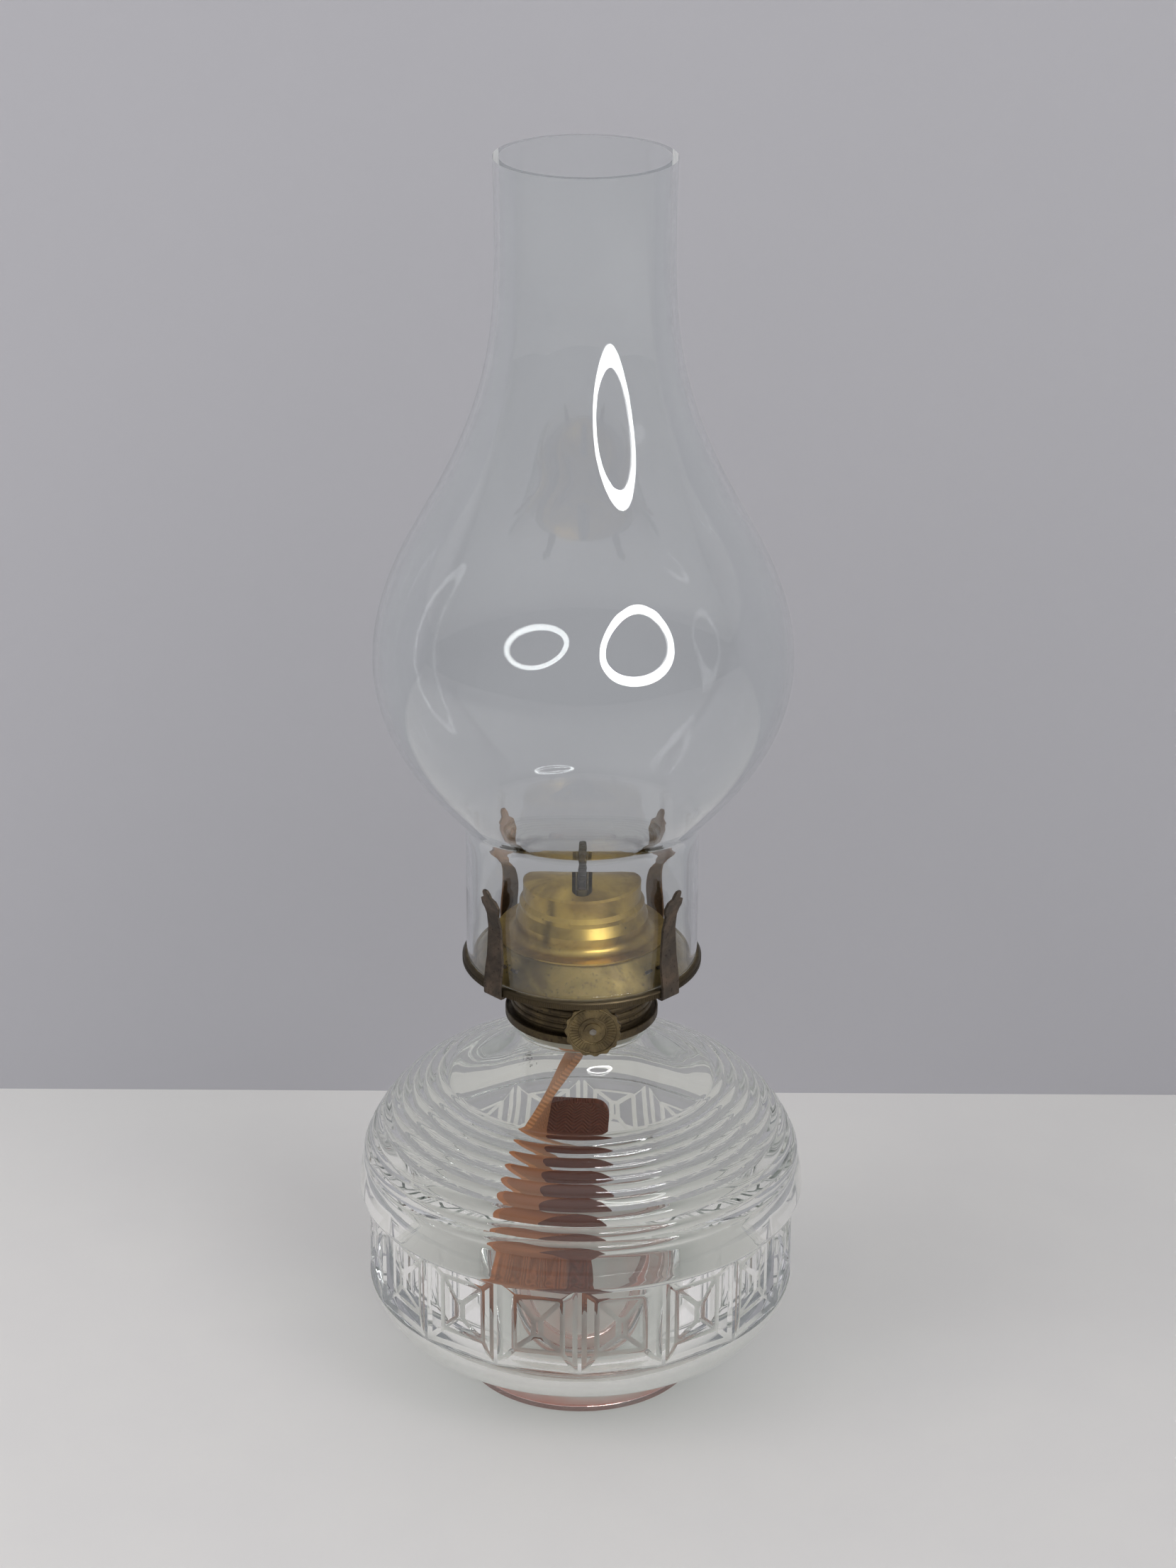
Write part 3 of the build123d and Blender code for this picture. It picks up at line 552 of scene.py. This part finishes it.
# ------------------------------------------------------------------ font
@dataclass
class Font:
    """The pressed-glass oil font. Sizes are in millimetres."""

    foot_r: float = 40.0
    foot_ring: float = 6.0
    recess: float = 5.0
    foot_step: float = 2.0
    foot_h: float = 12.0
    roll: tuple[float, float] = (60.5, 19.0)
    roll_full: tuple[float, float] = (67.7, 25.7)
    band: tuple[float, float] = (35.0, 67.0)
    band_r: float = 72.0
    rim_round: float = 2.0
    shoulder_r: float = 43.5
    ridges: int = 9
    ridge_h: float = 0.9
    ridge_arc: tuple[float, float] = (17.5, 72.5)
    neck_r: float = 22.0
    neck_h: float = 6.0
    wall: float = 4.0
    neck_wall: float = 3.0
    cavity_r: float = 65.6
    cavity_turn: float = 19.6
    floor_z: float = 13.0
    panels: int = 16
    steps: int = 256
    panel_margin: float = 1.6
    panel_bevel: float = 4.4
    panel_depth: float = 1.8
    pyramid_in: float = 6.8
    pyramid_h: float = 2.2
    soft_edge: float = 0.95
    least_bend: float = 0.12       # edges that turn by less, in radians, aren't softened
    bead: float = 0.5

    def __post_init__(self) -> None:
        """Read the overall sizes from the frame."""
        low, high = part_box("font_glass")
        self.bowl_r = (high[0] - low[0]) / 2 / MM
        self.neck_top = high[2] / MM
        self.neck_z = self.neck_top - self.neck_h

    def shoulder(self, radius: float, angle: float) -> tuple[float, float]:
        """Point on the shoulder's curve, or on one parallel to it."""
        turn = math.radians(angle)
        return (self.bowl_r - self.shoulder_r + radius * math.cos(turn),
                self.band[1] + radius * math.sin(turn))

    def lower_profile(self) -> Profile:
        """From the axis under the foot, out to the lower edge of the band."""
        foot_in = self.foot_r - self.foot_ring
        step, rise = self.foot_step, self.foot_h / 3
        foot = [(0, self.recess), (foot_in, self.recess), (foot_in, 0), (self.foot_r, 0),
                (self.foot_r, rise), (self.foot_r + step, rise), (self.foot_r + step, 2 * rise),
                (self.foot_r + 2 * step, self.foot_h), self.roll]
        corner = (self.band_r, self.band[0])
        return rounded(foot, 0.8) + arc(self.roll, self.roll_full, corner, 20)[1:]

    def upper_profile(self) -> Profile:
        """From the upper edge of the band over the shoulder to the neck, and back inside.

        Returns:
            The points from outside to inside.
        """
        rim_z, top = self.band[1], self.neck_top
        lip = (self.bowl_r, rim_z + self.rim_round)
        edge = arc((self.band_r, rim_z), (self.bowl_r - 0.4, rim_z + self.rim_round / 4), lip, 6)
        low, high = self.ridge_arc
        start = math.degrees(math.asin(self.rim_round / self.shoulder_r))
        bulge = [self.shoulder(self.shoulder_r, start + (low - start) * k / 8) for k in range(1, 9)]
        rings: Profile = []
        pitch = (high - low) / self.ridges
        for ring in range(self.ridges):
            first = low + ring * pitch
            rings += arc(self.shoulder(self.shoulder_r, first),
                         self.shoulder(self.shoulder_r + self.ridge_h, first + pitch / 2),
                         self.shoulder(self.shoulder_r, first + pitch), 8)[1:]
        dome = sweep_to(rings[-1], (-1, 0.25), (self.neck_r, self.neck_z), (0, 1), 22)[1:]
        bore = self.neck_r - self.neck_wall
        bead = arc((self.neck_r, self.neck_z + 0.4), (self.neck_r + self.bead, self.neck_z + 1),
                   (self.neck_r, self.neck_z + 1.6), 6)
        mouth = rounded([(self.neck_r, self.neck_z + 1.7), (self.neck_r, top), (bore, top),
                         (bore, self.neck_z + 0.1)], 0.5)
        inner = self.shoulder_r - self.wall
        corner = self.shoulder(inner, high)
        turn = (self.cavity_r, rim_z + self.cavity_turn)
        heel = (self.cavity_r, self.band[0] + 2)
        toe = (self.foot_r - self.wall, self.floor_z)
        inside = sweep_to((bore, self.neck_z), (0, -1), corner, (1, -0.25), 16)
        inside += sweep_to(corner, (1, -0.25), turn, (0, -1), 18, pull=0.8)[1:]
        inside += sweep_to(heel, (0, -1), toe, (-1, -0.1), 18, pull=0.9) + [(0, self.floor_z)]
        return edge + bulge + rings + dome + bead + mouth + inside

    def add_panels(self, bm: bmesh.types.BMesh) -> None:
        """Add the band: a sunk frame with a pyramid in each flat, and the ledges above and below.

        Args:
            bm: The bmesh to add to.
        """
        sector = math.tau / self.panels
        arc_steps = self.steps // self.panels
        rows = []
        made: list = []
        for height in self.band:
            row = []
            for k in range(arc_steps + 1):
                turn = sector * k / arc_steps
                row.append(bm.verts.new((self.band_r * MM * math.cos(turn),
                                         self.band_r * MM * math.sin(turn), height * MM)))
            rows.append(row)
            made.append(bm.faces.new(row))
        flat = bm.faces.new((rows[0][0], rows[0][-1], rows[1][-1], rows[1][0]))
        flat.normal_update()
        if flat.normal.dot(flat.calc_center_median()) < 0:
            flat.normal_flip()
        panel_faces = [flat]
        for inset, sink in ((self.panel_margin, 0.0), (self.panel_bevel, -self.panel_depth),
                            (self.pyramid_in, self.pyramid_h)):
            result = bmesh.ops.inset_individual(bm, faces=[flat], thickness=inset * MM,
                                                depth=sink * MM, use_even_offset=True)
            panel_faces += result["faces"]
        bm.normal_update()
        inner_edges = {edge for face in panel_faces for edge in face.edges
                       if len(edge.link_faces) == 2 and edge.calc_face_angle() > self.least_bend
                       and all(link in panel_faces for link in edge.link_faces)}
        softened = bmesh.ops.bevel(bm, geom=list(inner_edges), offset=self.soft_edge * MM, segments=3,
                                   profile=0.5, affect="EDGES", material=-1)
        panel_faces = [face for face in set(panel_faces) | set(softened["faces"]) if face.is_valid]
        faces = panel_faces + made
        verts = list({vert for face in faces for vert in face.verts})
        edges = list({edge for face in faces for edge in face.edges})
        bmesh.ops.spin(bm, geom=verts + edges + faces, cent=(0, 0, 0), axis=(0, 0, 1),
                       angle=sector * (self.panels - 1), steps=self.panels - 1, use_duplicate=True)

    def build(self) -> bpy.types.Object:
        """Build the font's glass.

        Returns:
            The glass.
        """
        bm = bmesh.new()
        self.add_panels(bm)
        lathe(bm, self.lower_profile(), self.steps)
        lathe(bm, self.upper_profile(), self.steps)
        # Pressed in a mould: wavy, so what lies behind it swims, with a pink stain low down
        glass = ClearGlass("pressed_soda_lime_glass", tint="#F9FAF7", stain="#EFA79C", stain_top_mm=9.0,
                           dirt_mm=(-17.0, -14.0, 121.0), dirt_reach_mm=9.0, wave_mm=22.0,
                           wave_relief_mm=0.15, ior=1.45, lets_through="#EEF0EF")
        piece = finish_piece("font_pressed_glass", bm, glass.build(), sharp=38)
        level = piece.modifiers.new("flat_panels", "WEIGHTED_NORMAL")
        level.keep_sharp = True
        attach(piece, Body.FONT.value)
        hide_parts("font_glass")
        return piece


# ------------------------------------------------------------------ chimney
@dataclass
class Chimney:
    """The blown glass chimney. Sizes are in millimetres, heights above its seat."""

    fitter_r: float = 38.1
    fitter_h: float = 48.0
    knots: tuple = ((38.1, 48.0), (53.7, 65.9), (67.5, 104.0), (58.0, 139.8), (48.2, 157.8),
                    (37.9, 179.5), (30.5, 205.1), (28.1, 232.0), (28.4, 267.0))
    wall: float = 1.9
    crease_soft: float = 4.0       # the crease is rounded this far each way
    crease_wall: float = 0.5       # extra glass behind the crease
    crease_reach: float = 3.0
    heel: float = 1.0              # rounding of the lower edge
    steps: int = 256

    def __post_init__(self) -> None:
        """Read the seat's height from the frame."""
        self.seat_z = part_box("chimney")[0][2] / MM

    def profile(self) -> Profile:
        """Closed half-section: up the outside, round the rim, down the inside.

        Returns:
            The points, in millimetres.
        """
        rows = 16
        rise = (self.fitter_h - self.heel) / rows
        straight = [(self.fitter_r, self.heel + rise * k) for k in range(rows)]
        flare = spline(list(self.knots), 14)
        crease_top = self.fitter_h + self.crease_soft
        start = next(k for k, (_, height) in enumerate(flare) if height > crease_top)
        below = (self.fitter_r, self.fitter_h - 2 * self.crease_soft)
        above = (2 * flare[start][0] - self.fitter_r, 2 * flare[start][1] - self.fitter_h)
        crease = rounded([below, (self.fitter_r, self.fitter_h), above], self.crease_soft, steps=8)[1:-1]
        straight = [point for point in straight if point[1] < crease[0][1] - 0.5]
        outside = straight + crease + flare[start + 1:]
        inside = []
        for k, (radius, height) in enumerate(outside):
            before, after = outside[max(k - 1, 0)], outside[min(k + 1, len(outside) - 1)]
            along = Vector((after[0] - before[0], after[1] - before[1])).normalized()
            near = math.exp(-((height - self.fitter_h) / self.crease_reach) ** 2)
            depth = self.wall + self.crease_wall * near
            inside.append((radius - along.y * depth, height + along.x * depth))
        inside.reverse()
        top_out, top_in = outside[-1], inside[0]
        rim = arc(top_out, ((top_out[0] + top_in[0]) / 2, top_out[1] + 0.02), top_in, 2)
        low_in, low_out = inside[-1], outside[0]
        heel = arc(low_in, ((low_in[0] + low_out[0]) / 2, 0.0), low_out, 6)
        return shifted(outside + rim[1:-1] + inside + heel[1:-1], self.seat_z)

    def build(self) -> bpy.types.Object:
        """Build the chimney's glass.

        Returns:
            The glass.
        """
        bm = bmesh.new()
        lathe(bm, self.profile(), self.steps, closed=True)
        # Blown: thin and even, with long soft waves that bend the reflections a little
        glass = ClearGlass("blown_soda_lime_glass", tint="#F9FBFB", wave_mm=45.0,
                           wave_relief_mm=0.1, ior=1.48)
        piece = finish_piece("chimney_blown_glass", bm, glass.build(), sharp=60)
        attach(piece, Body.CHIMNEY.value)
        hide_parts("chimney")
        return piece


# ------------------------------------------------------------------ burner
@dataclass
class Burner:
    """The brass burner: its finishes, and the knurl under the plate's rim."""

    tooth_pitch: float = 0.7
    tooth_w: float = 0.36
    tooth_h: float = 1.5
    tooth_out: float = 0.14
    tooth_up: float = 0.1          # teeth start this far above the rim's lower edge

    def finishes(self) -> dict[str, bpy.types.Material]:
        """The finish of each metal node, by node name.

        Returns:
            The materials.
        """
        # Spun brass kept warm by the flame: golden, with a soft gloss
        gold = AgedBrass("worn_spun_brass", "#AE924C", "#7A6236", "#42341F", roughness=(0.22, 0.32),
                         relief_mm=0.012, bright_share=0.6, spot_share=0.3, patch_mm=14).build()
        # Stamped brass: duller gold, and brown on the rim that the chimney never rubs
        plate = AgedBrass("stamped_brass", "#8C7848", "#5C4E32", "#463E32", roughness=(0.24, 0.4),
                          bright_share=0.45, spot_share=0.45, patch_mm=12, dark_from_mm=37.6).build()
        # Brass that nobody polishes: dark brown with a low sheen
        bronze = AgedBrass("tarnished_brass", "#5E523C", "#443B2F", "#2A2420", roughness=(0.3, 0.45),
                           bright_share=0.4, spot_share=0.5, patch_mm=8, relief_mm=0.03).build()
        # The wheel, rubbed by fingers: a little lighter and smoother
        handled = AgedBrass("handled_brass", "#74664A", "#4E4434", "#342C22", roughness=(0.28, 0.4),
                            bright_share=0.5, spot_share=0.4, patch_mm=6, relief_mm=0.03).build()
        # Hard-rolled spring brass: grey-brown and matt
        spring = AgedBrass("oxidised_spring_brass", "#66584C", "#4A443E", "#302A26", roughness=(0.4, 0.55),
                           bright_share=0.3, spot_share=0.45, patch_mm=8).build()
        # The same near the flame: reddened
        copper = AgedBrass("heat_reddened_brass", "#7E5C44", "#5A4636", "#342A24", roughness=(0.38, 0.5),
                           bright_share=0.5, spot_share=0.4, patch_mm=8).build()
        # Grey steel, worn and dull, then the chalky bed under the collar
        steel = AgedBrass("worn_steel", "#8C8880", "#5C5650", "#34302C", roughness=(0.35, 0.6)).build()
        plaster = Matte("plaster", "#C8C0B0", "#A89C88", patch_mm=3.0).build()
        finish = {"cone": gold, "gallery_plate": plate, "air_basket": plate, "base_disc": plate,
                  "wick_tube": plate, "shaft_bearing": plate, "burner_cup": bronze, "collar": bronze,
                  "shaft_bushing": bronze, "thumb_wheel": handled, "wick_shaft": steel, "shaft_clip": steel,
                  "star_wheel_front": steel, "star_wheel_rear": steel, "collar_plaster": plaster}
        finish |= {f"prong_front_{side}": spring for side in ("left", "right")}
        finish |= {f"prong_back_{side}": copper for side in ("left", "right")}
        return finish

    def dress(self) -> dict[str, bpy.types.Material]:
        """Give every metal node its finish.

        Returns:
            The materials, by node name.
        """
        finish = self.finishes()
        for node, material in finish.items():
            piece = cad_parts[node]
            if not piece.material_slots:
                piece.data.materials.append(material)
            for slot in piece.material_slots:
                slot.material = material
            log.info("%s: %s", node, material.name)
        return finish

    def knurl(self, material: bpy.types.Material) -> bpy.types.Object:
        """Build the fine teeth round the plate's rim.

        Args:
            material: The plate's finish.

        Returns:
            The ring of teeth.
        """
        low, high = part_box("gallery_plate")
        rim_r = (high[0] - low[0]) / 2
        count = round(math.tau * rim_r / (self.tooth_pitch * MM))
        bm = bmesh.new()
        tooth = bmesh.ops.create_cube(bm, size=1.0)["verts"]
        bmesh.ops.scale(bm, verts=tooth, vec=(2 * self.tooth_out * MM, self.tooth_w * MM, self.tooth_h * MM))
        middle_z = low[2] + (self.tooth_h / 2 + self.tooth_up) * MM
        bmesh.ops.translate(bm, verts=tooth, vec=(rim_r, 0, middle_z))
        bmesh.ops.spin(bm, geom=bm.verts[:] + bm.edges[:] + bm.faces[:], cent=(0, 0, 0), axis=(0, 0, 1),
                       angle=math.tau * (count - 1) / count, steps=count - 1, use_duplicate=True)
        piece = finish_piece("plate_knurl", bm, material)
        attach(piece, Body.BURNER.value)
        return piece


@dataclass
class ThumbWheel:
    """The raised pattern on the thumb wheel's face. Sizes are in millimetres."""

    bead_r: float = 7.9
    inner_r: float = 4.4
    bead_t: float = 0.28
    ticks: int = 40
    tick_w: float = 0.3
    tick_h: float = 0.22
    boss_h: float = 0.4            # the boss stands this far before the wheel's face

    def build(self, material: bpy.types.Material) -> bpy.types.Object:
        """Build the beads and radial ticks.

        Args:
            material: The wheel's finish.

        Returns:
            The pattern, in place on the wheel's front.
        """
        low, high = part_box("thumb_wheel")
        bm = bmesh.new()
        for radius in (self.bead_r, self.inner_r):
            add_ring(bm, radius * MM, self.bead_t * MM, 10, 72)
        length = (self.bead_r - self.inner_r - 3 * self.bead_t) * MM
        tick = bmesh.ops.create_cube(bm, size=1.0)["verts"]
        bmesh.ops.scale(bm, verts=tick, vec=(length, self.tick_w * MM, 2 * self.tick_h * MM))
        bmesh.ops.translate(bm, verts=tick, vec=((self.bead_r + self.inner_r) / 2 * MM, 0, 0))
        faces = list({face for vert in tick for face in vert.link_faces})
        edges = list({edge for vert in tick for edge in vert.link_edges})
        bmesh.ops.spin(bm, geom=tick + edges + faces, cent=(0, 0, 0), axis=(0, 0, 1),
                       angle=math.tau * (self.ticks - 1) / self.ticks, steps=self.ticks - 1,
                       use_duplicate=True)
        face_y = low[1] + self.boss_h * MM
        place = Matrix.Translation(((low[0] + high[0]) / 2, face_y, (low[2] + high[2]) / 2))
        bmesh.ops.transform(bm, matrix=place @ Matrix.Rotation(math.pi / 2, 4, "X"), verts=bm.verts)
        piece = finish_piece("wheel_pattern", bm, material)
        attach(piece, Body.RAISER.value)
        return piece


# ------------------------------------------------------------------ wick
@dataclass
class Wick:
    """The wick: a straight stretch in the tube, and the long tail that hangs in the font."""

    width: float = 25.4
    thick: float = 2.5
    across: int = 20
    join_z: float = 139.4          # the straight stretch ends here, inside the tube
    overlap: float = 9.0
    end_round: int = 9             # stations over which the cut end's corners are worn round
    end_width: float = 0.55        # width left at the very end, as a share
    edge_soft: float = 0.7
    char: float = 6.0              # length of the burnt tip
    burnt_off: float = 1.3         # most that is burnt away
    burnt_wave: float = 3.5        # size of its ragged bites
    curl: float = 0.5              # how far the tip leans
    curl_wave: float = 4.0
    # Centre of the tail as (x, y, z), with its turn about its own length in degrees
    route: tuple = ((0, 0, 148.4, 0), (0, 0, 136, 0), (0, 0, 124, 0), (-4, 0, 114, 4), (-9.5, 0, 102, 10),
                    (-15, 0, 88, 18), (-19.5, -1, 72, 28), (-22, -3, 54, 36), (-21, -6, 36, 46),
                    (-17, -6, 22, 60), (-12, 2, 17.5, 76), (-7, 12, 21, 88), (-5, 18, 38, 90),
                    (-4, 18, 58, 90), (-3, 15, 76, 90), (-2, 11, 89, 90))

    def __post_init__(self) -> None:
        """Read the tip's height from the frame."""
        self.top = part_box("wick")[1][2] / MM

    def ribbon(self, bm: bmesh.types.BMesh, stations: list[tuple[Vector, Vector]], from_tip: float) -> None:
        """Lay a strip along stations, with its map in metres.

        Args:
            bm: The bmesh to fill.
            stations: Centre and across direction at even steps, in millimetres.
            from_tip: Distance of the first station from the wick's tip.
        """
        rows = len(stations) - 1
        grid = bmesh.ops.create_grid(bm, x_segments=self.across, y_segments=rows, size=1.0)["verts"]
        run = [from_tip]
        for (a, _), (b, _) in zip(stations, stations[1:]):
            run.append(run[-1] + (b - a).length)
        spots = {}
        for vert in grid:
            u = vert.co.x / 2
            row = round((1 - vert.co.y) / 2 * rows)
            centre, side = stations[row]
            spots[vert] = (u * self.width * MM, run[row] * MM)
            vert.co = (centre + side * u * self.width) * MM
        layer = bm.loops.layers.uv.new("wick")
        for face in bm.faces:
            for loop in face.loops:
                loop[layer].uv = spots[loop.vert]

    def thicken(self, piece: bpy.types.Object) -> None:
        """Give a strip its thickness, with soft edges.

        Args:
            piece: The strip.
        """
        solid = piece.modifiers.new("cloth", "SOLIDIFY")
        solid.thickness = self.thick * MM
        solid.offset = 0.0
        soft = piece.modifiers.new("soft_edge", "BEVEL")
        soft.width = self.edge_soft * MM
        soft.segments = 2
        soft.limit_method = "ANGLE"
        soft.angle_limit = math.radians(50)

    def straight(self, material: bpy.types.Material) -> bpy.types.Object:
        """Build the stretch in the tube, with its ragged, charred tip.

        Args:
            material: The cotton.

        Returns:
            The straight stretch.
        """
        bm = bmesh.new()
        length = self.top - self.join_z
        rows = round(length)
        across = Vector((0, 1, 0))
        stations = [(Vector((0, 0, self.top - length * k / rows)), across) for k in range(rows + 1)]
        self.ribbon(bm, stations, 0.0)
        for vert in bm.verts:
            depth = max(0.0, 1 - (self.top * MM - vert.co.z) / (self.char * MM))
            rag = noise.noise(Vector((vert.co.y / (self.burnt_wave * MM), 0, 4.2)))
            vert.co.z -= depth * (0.7 + rag) * self.burnt_off * MM
            vert.co.x += depth * noise.noise(vert.co / (self.curl_wave * MM)) * self.curl * MM
        piece = finish_piece("wick_straight", bm, material)
        self.thicken(piece)
        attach(piece, Body.WICK.value)
        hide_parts("wick")
        return piece

    def tail(self, material: bpy.types.Material) -> bpy.types.Object:
        """Build the tail. Its lower end lies in the font.

        Args:
            material: The cotton.

        Returns:
            The tail.
        """
        stations = []
        steps = 14
        knots = [Vector(point) for point in self.route]
        ends = [2 * knots[0] - knots[1]] + knots + [2 * knots[-1] - knots[-2]]
        for p0, p1, p2, p3 in zip(ends, ends[1:], ends[2:], ends[3:]):
            for k in range(steps):
                t = k / steps
                point = 0.5 * (2 * p1 + (p2 - p0) * t + (2 * p0 - 5 * p1 + 4 * p2 - p3) * t ** 2
                               + (3 * p1 - p0 - 3 * p2 + p3) * t ** 3)
                stations.append(point)
        stations.append(knots[-1])
        placed = []
        for k, point in enumerate(stations):
            ahead, behind = stations[min(k + 1, len(stations) - 1)], stations[max(k - 1, 0)]
            along = (ahead - behind).to_3d().normalized()
            turn = math.radians(point.w)
            side = Vector((math.sin(turn), math.cos(turn), 0))
            side = (side - side.dot(along) * along).normalized()
            left = (len(stations) - 1 - k) / self.end_round
            narrow = math.sqrt(1 - (1 - min(left, 1.0)) ** 2)
            placed.append((point.to_3d(), side * (self.end_width + (1 - self.end_width) * narrow)))
        bm = bmesh.new()
        self.ribbon(bm, placed, self.top - self.join_z - self.overlap)
        piece = finish_piece("wick_loose_end", bm, material, sharp=80)
        self.thicken(piece)
        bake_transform(piece)
        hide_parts("wick_tail")
        return piece


# ------------------------------------------------------------------ studio
@dataclass
class Studio:
    """Floor, wall, lights and camera. Its sizes are in metres, but the eye's are in millimetres."""

    eye: tuple[float, float, float] = (1.75, -1121.6, 696.3)
    pitch: float = 23.28
    roll: float = 0.31
    focal_px: float = 5300.0
    image_long: float = 2212.0
    sensor_mm: float = 36.0
    wall_y: float = 0.19
    ring_at: tuple[float, float, float] = (0.36, -0.62, 0.55)
    ring_r: float = 0.25
    ring_t: float = 0.022
    ring_tilt: float = -50.0       # degrees away from facing the lamp
    ring_glow: float = 26.0
    lamp_middle: tuple[float, float, float] = (0.0, 0.0, 0.2)
    bulge_middle: tuple[float, float, float] = (0.0, 0.0, 0.28)
    reach: float = 4.0             # of the table and the wall

    def sheet(self, name: str, corners: tuple, material: bpy.types.Material) -> None:
        """Add a flat stage surface.

        Args:
            name: The surface's name.
            corners: Its four corners, in metres.
            material: Its finish.
        """
        bm = bmesh.new()
        bm.faces.new([bm.verts.new(corner) for corner in corners])
        mesh = bpy.data.meshes.new(name)
        bm.to_mesh(mesh)
        bm.free()
        mesh.materials.append(material)
        piece = bpy.data.objects.new(name, mesh)
        bpy.context.scene.collection.objects.link(piece)

    def surfaces(self) -> None:
        """The pale table top and the wall, which is seen only from its front."""
        reach = self.reach
        # Matt paper and paint: even, with only a breath of mottling
        table = Matte("pale_paper", "#E4E2DE", "#DEDCDA", roughness=0.55).build()
        wall = Matte("painted_wall", "#BAB9BE", "#B6B5BA", one_sided=True, patch_mm=300).build()
        self.sheet("table_top", ((-reach, -reach, 0), (reach, -reach, 0), (reach, reach, 0),
                                 (-reach, reach, 0)), table)
        self.sheet("wall", ((-reach, self.wall_y, 0), (reach, self.wall_y, 0),
                            (reach, self.wall_y, reach), (-reach, self.wall_y, reach)), wall)

    def area(self, name: str, at: tuple, size: float, power: float) -> None:
        """Add a square soft light that points at the lamp's middle.

        Args:
            name: The light's name.
            at: Its place, in metres.
            size: Length of a side, in metres.
            power: Its power, in watts.
        """
        light = bpy.data.lights.new(name, "AREA")
        light.size = size
        light.energy = power
        holder = bpy.data.objects.new(name, light)
        holder.location = at
        aim = Vector(self.lamp_middle) - Vector(at)
        holder.rotation_euler = aim.to_track_quat("-Z", "Y").to_euler()
        holder.visible_glossy = False
        holder.visible_transmission = False
        bpy.context.scene.collection.objects.link(holder)

    def ring_light(self) -> None:
        """A ring lamp, seen only as its reflection in glass and metal, and lighting nothing else."""
        material, tree = blank_material("ring_lamp_glow")
        bounces = add_node(tree, "LightPath").outputs["Diffuse Depth"]
        direct = add_math(tree, "LESS_THAN", bounces, 0.5)
        power = add_math(tree, "MULTIPLY", direct.outputs[0], self.ring_glow)
        glow = add_node(tree, "Emission", {"Color": linear("#FFFFFF"), "Strength": power.outputs[0]})
        add_node(tree, "OutputMaterial", {"Surface": glow.outputs[0]})
        bm = bmesh.new()
        add_ring(bm, self.ring_r, self.ring_t, 12, 64)
        aim = Vector(self.bulge_middle) - Vector(self.ring_at)
        turn = aim.to_track_quat("Z", "Y").to_matrix().to_4x4()
        turn = turn @ Matrix.Rotation(math.radians(self.ring_tilt), 4, "X")
        bmesh.ops.transform(bm, matrix=Matrix.Translation(self.ring_at) @ turn, verts=bm.verts)
        ring = finish_piece("ring_lamp", bm, material)
        ring.visible_diffuse = False
        ring.visible_camera = False
        ring.visible_shadow = False

    def camera(self) -> None:
        """The camera, at the height and angle of someone standing at the table."""
        data = bpy.data.cameras.new("camera")
        data.sensor_width = self.sensor_mm
        data.lens = self.focal_px / self.image_long * self.sensor_mm
        data.clip_start = 0.05
        data.clip_end = 50
        holder = bpy.data.objects.new("camera", data)
        tilt = Matrix.Rotation(math.radians(90 - self.pitch), 4, "X")
        lean = Matrix.Rotation(math.radians(self.roll), 4, "Z")
        holder.matrix_world = Matrix.Translation(Vector(self.eye) * MM) @ tilt @ lean
        bpy.context.scene.collection.objects.link(holder)
        bpy.context.scene.camera = holder

    def build(self) -> None:
        """Set up the whole studio."""
        # A room that is brighter overhead than at eye level
        world = bpy.data.worlds.new("soft_room")
        world.use_nodes = True
        tree = world.node_tree
        background = tree.nodes["Background"]
        background.inputs["Color"].default_value = linear("#ECECF0")
        up = add_node(tree, "SeparateXYZ", {0: add_node(tree, "TexCoord").outputs["Generated"]})
        glow = add_ramp(tree, up.outputs["Z"], 0.05, 0.75, 0.24, 0.74, smooth=True)
        tree.links.new(glow.outputs[0], background.inputs["Strength"])
        scene = bpy.context.scene
        scene.world = world
        scene.view_settings.view_transform = "Standard"
        self.surfaces()
        self.area("key", (0.9, -1.0, 1.5), 0.7, 9.0)
        self.area("fill", (-1.0, -0.5, 0.9), 0.9, 7.0)
        self.ring_light()
        self.camera()


def main() -> None:
    """Build the lamp and its studio."""
    logging.basicConfig(level=logging.INFO, format="%(message)s")
    Studio().build()
    Font().build()
    Chimney().build()
    burner = Burner()
    finish = burner.dress()
    burner.knurl(finish["gallery_plate"])
    ThumbWheel().build(finish["thumb_wheel"])
    cotton = BraidedCotton().build()
    wick = Wick()
    wick.straight(cotton)
    wick.tail(cotton)


if __name__ == "__main__":
    main()
